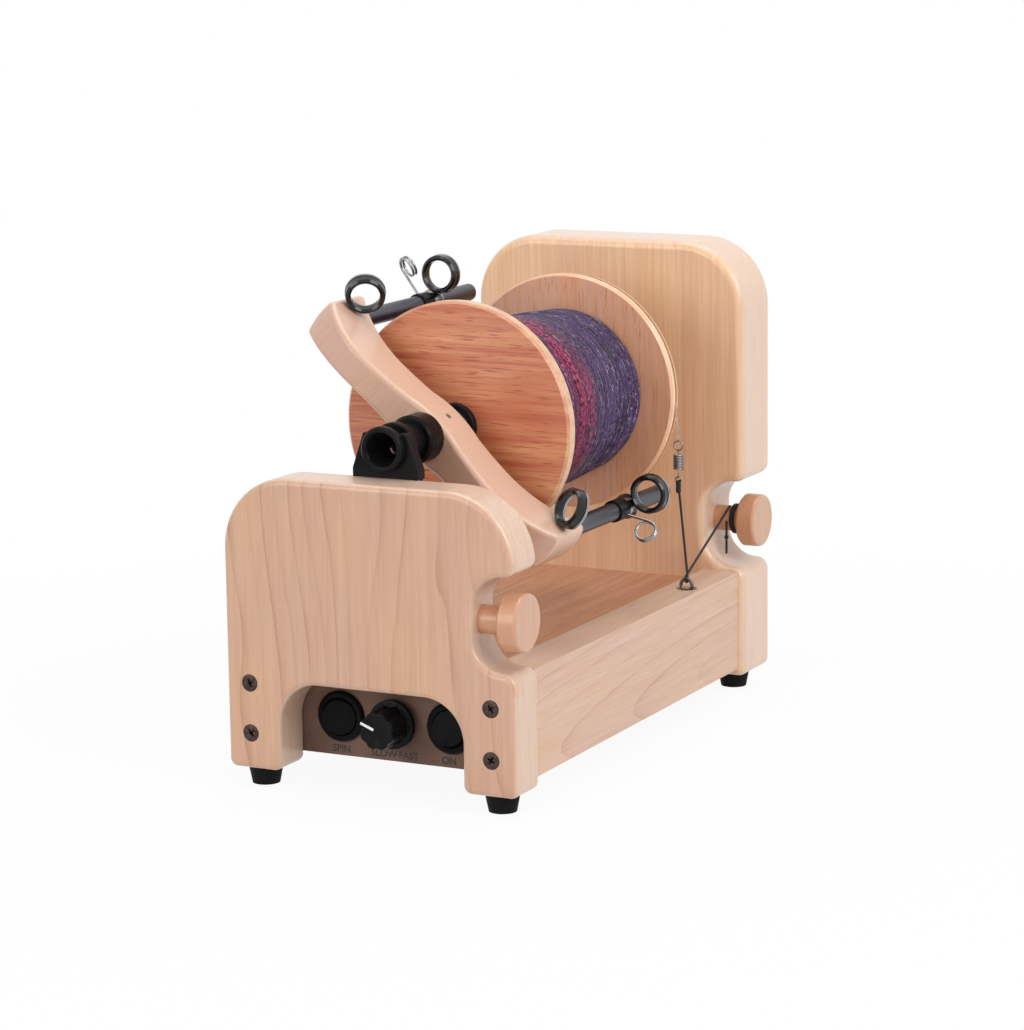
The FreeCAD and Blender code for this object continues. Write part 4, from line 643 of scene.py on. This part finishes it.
def coil(name, tree, place, turns, points, radius, wire, height, material, start=0.0, rotation=(0, 0, 0)):
    """Grow a coil of wire or cord from the middle of its first turn."""
    return grow(name, tree, {
        "Turns": turns, "Points": points, "Coil radius": radius, "Wire radius": wire, "Height": height,
        "Start": start, "Rotation": Euler(rotation), "Place": place, "Material": material})


def screw_group():
    """A pattern screw set at each point, each with its recess at a chance angle."""
    tree, given, output = node_group("screw_row", {
        "Geometry": "Geometry", "Pattern": "Object", "Facing": "Float", "Size": "Float", "Seed": "Int",
        "Material": "Material"})
    pattern = out(tree, "GeometryNodeObjectInfo", {"Object": given["Pattern"]}, "Geometry")
    chance = out(tree, "FunctionNodeRandomValue", {"Seed": given["Seed"]}, 1, data_type="FLOAT")
    turn = point(tree, y=chance * math.tau, z=given["Facing"])
    rotation = out(tree, "FunctionNodeEulerToRotation", {0: turn})
    placed = out(tree, "GeometryNodeInstanceOnPoints",
                 {"Points": given["Geometry"], "Instance": pattern, "Rotation": rotation,
                  "Scale": point(tree, given["Size"], given["Size"], given["Size"])})
    finish_group(tree, output, placed, given["Material"])
    return tree


# ---------------------------------------------------------------- operators

class SPINNER_OT_wooden_body(bpy.types.Operator):
    """Finish the panels, rails, deck and base in lacquered wood"""
    bl_idname = "spinner.wooden_body"
    bl_label = "Wooden body"

    def execute(self, context):
        colours = context.scene.spinner_wood
        coat(wood("front_panel_maple", colours.panel_pale, colours.panel_deep, colours.panel_line,
                  colours.panel_edge, seed=0.31, pith=(0.13, -0.06), slope=0.04, spacing=0.0115, wander=0.06,
                  lines=0.8, crisp=9.0, faintest=0.1), "front_panel")
        coat(wood("rear_panel_maple", colours.rear_pale, colours.rear_deep, colours.panel_line,
                  colours.rear_edge, seed=1.7, pith=(-0.2, 0.1), slope=0.02, spacing=0.0026, wander=0.006,
                  lines=0.22, streaks=0.7), "rear_panel")
        coat(wood("rail_maple", colours.rail_pale, colours.panel_deep, colours.panel_line, colours.panel_edge,
                  grain="Y", face="X", seed=2.3, pith=(0.09, 0.02), slope=0.1, spacing=0.007, lines=0.5),
             "rail_left", "rail_right")
        coat(wood("deck_cherry", colours.deck_pale, colours.deck_deep, colours.deck_line, grain="Y",
                  seed=0.9, pith=(0.03, -0.04), spacing=0.004, wander=0.02, lines=0.4, streaks=0.8,
                  flecks=0.4), "deck_board")
        coat(wood("hardboard", tint(150, 116, 88), tint(128, 96, 70), tint(110, 80, 58), grain="X", seed=3.1,
                  lines=0.05, lacquer=0.0), "base_plate", "rear_cover")
        return {"FINISHED"}


class SPINNER_OT_flyer(bpy.types.Operator):
    """Finish the flyer bar, rods, guide rings, sleeves, hooks, orifice and its bracket"""
    bl_idname = "spinner.flyer"
    bl_label = "Flyer"

    def execute(self, context):
        colours, fittings = context.scene.spinner_wood, context.scene.spinner_fittings
        guides = middle("lower_slider_sleeve") - middle("upper_slider_sleeve")
        lean = math.atan2(-guides.z, guides.x)
        coat(wood("flyer_maple", colours.bar_pale, colours.panel_pale, colours.panel_line, colours.bar_edge,
                  grain="X", turn=lean, seed=4.2, pith=(0.1, 0.06), slope=0.03, lines=0.12), "flyer_bar")
        coat(metal("dark_rod", fittings.rod, 0.34, "Y", 0.04), "flyer_rods")
        coat(plastic("ring_black", fittings.black, 0.16, 0.03, shine=0.4), "fixed_guide_rings",
             "upper_slider_ring", "lower_slider_ring")
        coat(plastic("sleeve_black", fittings.black, 0.3, 0.1), "upper_slider_sleeve", "lower_slider_sleeve",
             "hub_collar", "orifice_tube", "bearing_bracket")
        coat(metal("bright_steel", tint(160, 160, 162), 0.2, "Y", 0.03), "fixed_guide_frames",
             "upper_slider_frame", "lower_slider_frame", "upper_slider_pigtail", "lower_slider_pigtail")
        coat(metal("spindle_steel", tint(170, 171, 174), 0.28, "Y"), "spindle")
        coat(metal("grub_steel", tint(40, 38, 38), 0.4, "Y"), "spindle_grub_screw")
        return {"FINISHED"}


class SPINNER_OT_bobbin(bpy.types.Operator):
    """Finish the bobbin's flanges, core and bushes"""
    bl_idname = "spinner.bobbin"
    bl_label = "Bobbin"

    def execute(self, context):
        colours, fittings = context.scene.spinner_wood, context.scene.spinner_fittings
        coat(wood("front_flange_wood", colours.flange_pale, colours.flange_deep, colours.flange_line,
                  colours.flange_edge, grain="X", seed=5.5, pith=(-0.05, 0.03), slope=0.07, spacing=0.0042,
                  wander=0.03, lines=0.25, streaks=1.0, flecks=0.8, patches=0.5), "bobbin_front_flange")
        coat(wood("rear_flange_wood", colours.rear_flange, colours.flange_pale, colours.flange_line,
                  colours.rear_rim, seed=6.1, pith=(0.02, 0.05), slope=0.1, spacing=0.006, wander=0.02,
                  lines=0.3, streaks=0.8, flecks=0.35), "bobbin_rear_flange")
        coat(wood("bobbin_core_wood", colours.flange_pale, colours.flange_deep, colours.flange_line,
                  grain="Y", seed=7.0), "bobbin_core")
        coat(plastic("bush_black", fittings.black, 0.42), "bobbin_bushes")
        return {"FINISHED"}


class SPINNER_OT_yarn(bpy.types.Operator):
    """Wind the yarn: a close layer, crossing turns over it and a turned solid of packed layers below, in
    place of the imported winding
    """
    bl_idname = "spinner.yarn"
    bl_label = "Yarn"

    def execute(self, context):
        settings = context.scene.spinner_yarn
        low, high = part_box("yarn_winding")
        material = yarn_material(settings, low.y, high.y)
        radius = (high.x - low.x) / 2
        strand = settings.strand_radius
        length = high.y - low.y - 3 * strand
        front_swell, rear_taper, rear_round = 1.5 * MM, 2.0 * MM, 3 * MM
        centre = Vector((FLYER_AXIS.x, 0, FLYER_AXIS.z))
        tree = winding_group()
        shared = {"Strand radius": strand, "Radius": radius, "Front": low.y + 1.5 * strand, "Length": length,
                  "Front swell": front_swell, "Rear taper": rear_taper, "Material": material,
                  "Centre": centre, "Points per turn": 72}
        close = grow("yarn_close_turns", tree, {
            **shared, "Turns": settings.close_turns, "Passes": 1.0, "Wander": settings.wander,
            "Pile": 1.2 * MM, "Seed": float(settings.seed)})
        crossing = grow("yarn_crossing_turns", tree, {
            **shared, "Turns": settings.crossing_turns, "Passes": 5.0, "Wander": settings.wander * 4,
            "Pile": 0.5 * MM, "Seed": settings.seed + 31.0})
        sunk = radius - 2.2 * strand
        packed = turned("yarn_packed_layers", [
            (0, low.y), (sunk - front_swell, low.y), (sunk, low.y + FRONT_SWELL_LENGTH),
            (sunk, high.y - REAR_TAPER_LENGTH), (sunk - rear_taper, high.y - rear_round),
            (sunk - rear_taper - 2 * MM, high.y), (0, high.y)], centre, material=material, steps=128)
        for piece in (close, crossing, packed):
            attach(piece, "bobbin")
        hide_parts("yarn_winding")
        return {"FINISHED"}


def pattern_screw(settings, radius, length):
    """A countersunk screw that faces -Y at the origin, with a tapered cross recess."""
    shank, rim, taper = radius * 0.5, 0.3 * MM, 0.35
    screw = turned("screw_pattern", [
        (0, 0), (radius - rim, 0), (radius - rim * 0.3, rim * 0.3), (radius, rim),
        (shank, radius - shank + rim), (shank, length - shank), (0, length)], Vector(), steps=40)
    reach, half = settings.recess_reach, settings.recess_width / 2
    cross = [(half, half), (reach, half), (reach, -half), (half, -half), (half, -reach), (-half, -reach),
             (-half, -half), (-reach, -half), (-reach, half), (-half, half), (-half, reach), (half, reach)]
    cutter = prism("recess_pattern", cross, -0.5 * MM, settings.recess_depth, taper=taper)
    bite = screw.modifiers.new("recess", "BOOLEAN")
    bite.operation = "DIFFERENCE"
    bite.solver = "EXACT"
    bite.object = cutter
    settle(screw)
    bpy.data.objects.remove(cutter)
    smooth(screw.data)
    return screw


class SPINNER_OT_screws(bpy.types.Operator):
    """Set the cross-recess screws of the rails, the rear cover and the bearing bracket"""
    bl_idname = "spinner.screws"
    bl_label = "Screws"

    def execute(self, context):
        settings = context.scene.spinner_fittings
        material = blackened_steel("black_screw_steel", settings.screw)
        head_radius, rail_screw_length = 4.25 * MM, 30 * MM
        forward, backward = 0.0, math.pi
        tree = screw_group()
        patterns = []

        def pattern_for(length, head):
            """A pattern screw that has this length once its head is scaled to the wanted radius."""
            patterns.append(pattern_screw(settings, head_radius, length * head_radius / head))
            return patterns[-1]

        def row(name, pattern, head, facing, seed, spots):
            return grow(name, tree, {"Pattern": pattern, "Facing": facing, "Size": head / head_radius,
                                     "Seed": seed, "Material": material}, spots)

        low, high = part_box("rail_screws")
        long_screw = pattern_for(rail_screw_length, head_radius)
        spots = [(x, z) for x in (low.x + head_radius, high.x - head_radius)
                 for z in (low.z + head_radius, high.z - head_radius)]
        rows = []
        for number, (y, facing) in enumerate(((low.y, forward), (high.y, backward))):
            rows.append(row(f"rail_screw_row_{number}", long_screw, head_radius, facing, 3 + number,
                            [(x, y, z) for x, z in spots]))
        rails = joined("rail_screws_dressed", rows)

        low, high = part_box("cover_screws")
        small = 2.6 * MM
        spots = [(FLYER_AXIS.x, high.y, high.z - small), (low.x + small, high.y, FLYER_AXIS.z),
                 (high.x - small, high.y, FLYER_AXIS.z), (middle("motor").x, high.y, low.z + small)]
        cover = row("cover_screws_dressed", pattern_for(high.y - low.y, small), small, backward, 8, spots)

        low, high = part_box("bracket_screws")
        large = (high.x - low.x) / 2
        spots = [(FLYER_AXIS.x, high.y, low.z + large), (FLYER_AXIS.x, high.y, high.z - large)]
        bracket = row("bracket_screws_dressed", pattern_for(high.y - low.y, large), large, backward, 11,
                      spots)

        for piece in (rails, cover, bracket):
            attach(piece, "stand")
        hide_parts("rail_screws")
        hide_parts("cover_screws")
        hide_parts("bracket_screws")
        for pattern in patterns:
            bpy.data.objects.remove(pattern)
        coat(material, "foot_screws", "motor_screws")
        return {"FINISHED"}


class SPINNER_OT_controls(bpy.types.Operator):
    """Finish the control plate and its round rocker switches"""
    bl_idname = "spinner.controls"
    bl_label = "Controls"

    def execute(self, context):
        fittings = context.scene.spinner_fittings
        coat(plastic("control_plate_face", fittings.plate, 0.5, 0.1, 900.0), "control_panel")
        coat(plastic("switch_black", tint(9, 9, 10), 0.34, 0.1, shine=0.06), "direction_switch",
             "power_switch", "speed_dial")
        coat(plastic("rocker_black", tint(9, 9, 10), 0.26, 0.04, shine=0.06), "direction_rocker",
             "power_rocker")
        coat(metal("dial_steel", tint(176, 177, 180), 0.3, "Y"), "speed_dial_shaft")
        return {"FINISHED"}


class SPINNER_OT_speed_knob(bpy.types.Operator):
    """Build the fluted speed knob with its skirt and white pointer"""
    bl_idname = "spinner.speed_knob"
    bl_label = "Speed knob"

    def execute(self, context):
        settings = context.scene.spinner_fittings
        low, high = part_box("speed_knob")
        centre = (low + high) / 2
        skirt = (high.x - low.x) / 2
        cap = 8.9 * MM
        skirt_front = high.y - 3 * MM

        def fluted(radius, along, angle):
            if along >= skirt_front or radius < cap * 0.8:
                return radius
            wave = 0.5 + 0.5 * math.cos(settings.flutes * (angle - settings.pointer_angle))
            hollow = settings.flute_depth * (1 - wave) ** 1.6
            return radius - hollow

        front = low.y
        profile = [
            (0, front + 0.35 * MM), (cap * 0.72, front + 0.3 * MM), (cap * 0.86, front),
            (cap - 0.45 * MM, front), (cap - 0.12 * MM, front + 0.16 * MM), (cap, front + 0.5 * MM),
            (cap + 0.3 * MM, front + 6 * MM),
            (cap + 0.6 * MM, skirt_front - 0.2 * MM), (cap + 0.8 * MM, skirt_front),
            (skirt - 0.5 * MM, skirt_front), (skirt - 0.14 * MM, skirt_front + 0.14 * MM),
            (skirt, skirt_front + 0.5 * MM), (skirt, high.y - 0.3 * MM), (skirt - 0.3 * MM, high.y),
            (0, high.y)]
        knob = turned("speed_knob_fluted", profile, Vector((centre.x, 0, centre.z)), steps=180, shape=fluted,
                      material=plastic("knob_black", settings.black, 0.28, 0.1))
        half = 0.6 * MM
        bar = [(1.6 * MM, -half), (1.6 * MM, half), (cap - 0.15 * MM, half), (cap - 0.15 * MM, -half)]
        pointer = prism("speed_knob_pointer", bar, front - 0.02 * MM, front + 0.6 * MM,
                        plastic("pointer_white", tint(236, 236, 232), 0.4, 0.05))
        pointer.data.transform(Matrix.Translation((centre.x, 0, centre.z))
                               @ Matrix.Rotation(-settings.pointer_angle, 4, "Y"))
        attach(knob, "speed_control")
        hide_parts("speed_knob")
        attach(pointer, "speed_control")
        return {"FINISHED"}


class SPINNER_OT_labels(bpy.types.Operator):
    """Print the generic words under the controls"""
    bl_idname = "spinner.labels"
    bl_label = "Labels"

    def execute(self, context):
        settings = context.scene.spinner_fittings
        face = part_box("control_panel")[0].y
        baseline = 15.1 * MM
        ink = printed_ink("label_ink")
        words = (("SPIN", -28.0), ("SLOW", -5.5), ("FAST", 7.5), ("ON", 28.6))
        pieces = []
        for word, x in words:
            text = bpy.data.curves.new("label_" + word.lower(), "FONT")
            text.body = word
            text.size = settings.letter_height / CAPITAL_SHARE
            text.align_x = "CENTER"
            text.offset = 0.09 * MM
            text.extrude = 0.03 * MM
            label = put(text.name, text)
            label.matrix_world = (Matrix.Translation((FLYER_AXIS.x + x * MM, face - 0.02 * MM, baseline))
                                  @ Matrix.Rotation(math.radians(90), 4, "X"))
            context.view_layer.update()
            pieces.append(settle(label))
        left, right = FLYER_AXIS.x + 0.2 * MM, FLYER_AXIS.x + 2.2 * MM
        under, over = baseline + 1.2 * MM, baseline + 1.7 * MM
        dash = [(left, under), (right, under), (right, over), (left, over)]
        pieces.append(prism("label_dash", dash, face - 0.05 * MM, face + 0.01 * MM))
        words_piece = joined("control_words", pieces)
        words_piece.data.materials.append(ink)
        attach(words_piece, "stand")
        return {"FINISHED"}


class SPINNER_OT_tension_knobs(bpy.types.Operator):
    """Finish the two turned wooden tension knobs"""
    bl_idname = "spinner.tension_knobs"
    bl_label = "Tension knobs"

    def execute(self, context):
        colours = context.scene.spinner_wood
        for name, seed in (("front_tension_knob", 8.3), ("rear_tension_knob", 9.4)):
            coat(wood(name + "_wood", colours.knob_face, colours.knob_deep, colours.panel_line,
                      colours.knob_deep, face="X", seed=seed, pith=(0.0, 0.3), slope=0.0, spacing=0.0022,
                      wander=0.003, lines=0.45, streaks=0.8), name)
        return {"FINISHED"}


class SPINNER_OT_brake(bpy.types.Operator):
    """Build the brake's coil spring, knots and cord turns, and finish its line, cord and eyes"""
    bl_idname = "spinner.brake"
    bl_label = "Brake"

    def execute(self, context):
        coat(clear_line("nylon_line"), "brake_line")
        cord = cord_material("braided_cord", tint(24, 23, 25))
        coat(cord, "brake_cord")
        coat(metal("eye_steel", tint(120, 112, 106), 0.3, "Z"), "screw_eyes")
        steel = metal("spring_steel", tint(150, 148, 148), 0.26, "Z", 0.02)
        quarter = math.radians(90)
        tree = coil_group()

        low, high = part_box("brake_spring")
        centre = (low + high) / 2
        foot_of_axis = Vector((centre.x, centre.y, 0))
        wire = 0.4 * MM
        gauge = wire * 0.92
        reach = (high.x - low.x) / 2 - wire
        body = 7.4 * MM
        loop_pitch = 0.9 * MM
        parts = [coil("spring_coil", tree, (centre.x, centre.y, centre.z - body / 2), turns=9.0, points=181,
                      radius=reach, wire=gauge, height=body, material=steel)]
        for side, end, loop in ((1, high.z, reach), (-1, low.z, reach * 0.7)):
            loop_z = end - side * (loop + wire)
            parts.append(coil("spring_loop", tree, (centre.x, centre.y + loop_pitch / 2, loop_z), turns=1.1,
                              points=41, radius=loop, wire=gauge, height=loop_pitch, material=steel,
                              start=-side * quarter, rotation=(quarter, 0, 0)))
            foot = centre.z + side * (body / 2 - wire)
            neck = loop_z - side * (loop - wire)
            below, above = min(foot, neck), max(foot, neck)
            parts.append(turned("spring_neck", [(0, below), (gauge, below), (gauge, above), (0, above)],
                                foot_of_axis, "Z", 12, material=steel))
        spring = joined("brake_spring_coiled", parts)
        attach(spring, "stand")
        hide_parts("brake_spring")

        knot_top = low.z + 1.6 * MM
        knot_foot = knot_top - 5.8 * MM
        knot = coil("cord_knot", tree, (centre.x, centre.y, knot_top), turns=5.0, points=110,
                    radius=0.75 * MM, wire=0.62 * MM, height=-5.2 * MM, material=cord)
        core = turned("cord_knot_core", [
            (0, knot_foot), (0.8 * MM, knot_foot + 0.4 * MM), (0.9 * MM, knot_top),
            (0, knot_top + 0.4 * MM)], foot_of_axis, "Z", 16, material=cord)
        knot = joined("cord_knot_wraps", [knot, core])
        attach(knot, "stand")

        low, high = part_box("cord_wraps")
        centre = (low + high) / 2
        thread = 0.6 * MM
        wraps = coil("cord_wraps_coiled", tree, (low.x + thread, centre.y, centre.z), turns=3.4, points=110,
                     radius=(high.z - low.z) / 2 - thread, wire=thread, height=high.x - low.x - 2 * thread,
                     material=cord, rotation=(0, quarter, 0))
        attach(wraps, "rear_knob")
        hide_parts("cord_wraps")
        return {"FINISHED"}


class SPINNER_OT_drive(bpy.types.Operator):
    """Finish the drive behind the rear panel, the electronics and the power inlet"""
    bl_idname = "spinner.drive"
    bl_label = "Drive"

    def execute(self, context):
        fittings = context.scene.spinner_fittings
        coat(plastic("hub_black", fittings.black, 0.36), "drive_hub", "drive_pulley", "motor_pulley",
             "power_inlet")
        coat(plastic("belt_rubber", tint(34, 33, 34), 0.62, 0.3, 1200.0), "drive_belt")
        coat(metal("drive_steel", tint(168, 169, 172), 0.24, "Y"), "drive_shaft", "motor_shaft",
             "rear_bearings")
        coat(metal("motor_can", tint(140, 140, 142), 0.36, "Z"), "motor")
        coat(circuit_material("circuit_green"), "circuit_board")
        return {"FINISHED"}


class SPINNER_OT_feet(bpy.types.Operator):
    """Finish the rubber feet"""
    bl_idname = "spinner.feet"
    bl_label = "Feet"

    def execute(self, context):
        coat(plastic("foot_rubber", tint(12, 11, 12), 0.66, 0.2, 1400.0), "rubber_feet")
        return {"FINISHED"}


def area_light(name, place, target, size, power):
    """A square light that faces its target."""
    lamp = bpy.data.lights.new(name, "AREA")
    lamp.shape = "SQUARE"
    lamp.size = size
    lamp.energy = power
    holder = put(name, lamp)
    holder.location = place
    holder.rotation_euler = (Vector(place) - Vector(target)).to_track_quat("Z", "Y").to_euler()


def seen_directly(tree):
    """1 where the camera, a mirror or clear material sees a surface, 0 where it only gives light."""
    path = add(tree, "ShaderNodeLightPath").outputs
    camera, mirror, glass = (Wire(path[f"Is {kind} Ray"]) for kind in ("Camera", "Glossy", "Transmission"))
    return maths("MAXIMUM", camera, maths("MAXIMUM", mirror, glass))


class SPINNER_OT_studio(bpy.types.Operator):
    """Set the camera, the pale floor and the soft lights"""
    bl_idname = "spinner.studio"
    bl_label = "Studio"

    def execute(self, context):
        scene = context.scene
        settings = scene.spinner_studio
        lens = bpy.data.cameras.new("camera")
        lens.sensor_fit = "HORIZONTAL"
        lens.sensor_width = 36
        lens.lens = settings.lens
        lens.clip_start = 0.05
        camera = put("camera", lens)
        right = Vector((0.89299, 0.44990, -0.01303))
        back = Vector((0.44423, -0.87639, 0.18601))
        up = back.cross(right)
        turn = Matrix((right, up, back)).transposed().to_4x4()
        place = Vector((0.74454, -1.47166, 0.42012))
        camera.matrix_world = Matrix.Translation(place) @ turn
        scene.camera = camera
        scene.view_settings.view_transform = "Standard"

        target = (0, 0, 0.1)
        area_light("key_light", (1.5, -0.5, 1.1), target, 1.0, settings.key)
        area_light("fill_light", (-1.3, -2.8, 1.2), target, 1.6, settings.fill)
        area_light("top_light", (0.0, 0.1, 1.6), target, 1.0, settings.top)

        scene.world = bpy.data.worlds.new("studio")
        tree = empty_tree(scene.world)
        light = out(tree, "ShaderNodeBackground", {"Color": (1, 1, 1, 1), "Strength": settings.sky})
        white = out(tree, "ShaderNodeBackground", {"Color": (1, 1, 1, 1), "Strength": 1.0})
        mix = out(tree, "ShaderNodeMixShader", {0: seen_directly(tree), 1: light, 2: white})
        add(tree, "ShaderNodeOutputWorld", {"Surface": mix})

        mesh = bpy.data.meshes.new("floor")
        reach = 3.0
        corners = [(-reach, -reach, 0), (reach, -reach, 0), (reach, reach, 0), (-reach, reach, 0)]
        mesh.from_pydata(corners, [], [(0, 1, 2, 3)])
        floor = link_mesh("floor", mesh)
        floor.location.z = -0.3 * MM
        paper = bpy.data.materials.new("studio_paper")
        tree = empty_tree(paper)
        matt = out(tree, "ShaderNodeBsdfDiffuse", {"Color": (0.8, 0.8, 0.8, 1)})
        glow = out(tree, "ShaderNodeEmission", {"Color": (1, 1, 1, 1), "Strength": 1.0})
        spot = out(tree, "ShaderNodeTexCoord", output="Object")
        distance = out(tree, "ShaderNodeVectorMath", {0: spot}, "Value", operation="LENGTH")
        shaded_reach, white_reach = 0.2, 0.55
        shade = spread(distance, shaded_reach, white_reach, settings.floor_shade, 0.0, True)
        share = seen_directly(tree) * maths("SUBTRACT", 1.0, shade)
        mix = out(tree, "ShaderNodeMixShader", {0: share, 1: matt, 2: glow})
        add(tree, "ShaderNodeOutputMaterial", {"Surface": mix})
        mesh.materials.append(paper)
        return {"FINISHED"}


OPERATORS = (SPINNER_OT_wooden_body, SPINNER_OT_flyer, SPINNER_OT_bobbin, SPINNER_OT_yarn, SPINNER_OT_screws,
             SPINNER_OT_controls, SPINNER_OT_speed_knob, SPINNER_OT_labels, SPINNER_OT_tension_knobs,
             SPINNER_OT_brake, SPINNER_OT_drive, SPINNER_OT_feet, SPINNER_OT_studio)


class SPINNER_PT_finish(bpy.types.Panel):
    """Lists the steps that finish the yarn spinner"""
    bl_idname = "SPINNER_PT_finish"
    bl_label = "Yarn Spinner"
    bl_space_type = "VIEW_3D"
    bl_region_type = "UI"
    bl_category = "Spinner"

    def draw(self, context):
        for operator in OPERATORS:
            self.layout.operator(operator.bl_idname)
        for group in (getattr(context.scene, name) for name in SETTINGS):
            column = self.layout.column()
            for name in group.bl_rna.properties.keys():
                if name not in {"rna_type", "name"}:
                    column.prop(group, name)


SETTINGS = {"spinner_wood": WoodSettings, "spinner_yarn": YarnSettings, "spinner_fittings": FittingSettings,
            "spinner_studio": StudioSettings}


def register():
    for group in SETTINGS.values():
        bpy.utils.register_class(group)
    for operator in OPERATORS:
        bpy.utils.register_class(operator)
    bpy.utils.register_class(SPINNER_PT_finish)
    for name, group in SETTINGS.items():
        setattr(bpy.types.Scene, name, bpy.props.PointerProperty(type=group))


def unregister():
    for name in SETTINGS:
        delattr(bpy.types.Scene, name)
    bpy.utils.unregister_class(SPINNER_PT_finish)
    for operator in reversed(OPERATORS):
        bpy.utils.unregister_class(operator)
    for group in reversed(SETTINGS.values()):
        bpy.utils.unregister_class(group)


def main():
    register()
    for operator in OPERATORS:
        call = getattr(bpy.ops.spinner, operator.bl_idname.split(".")[1])
        call()
    bpy.context.view_layer.update()


if __name__ == "__main__":
    main()
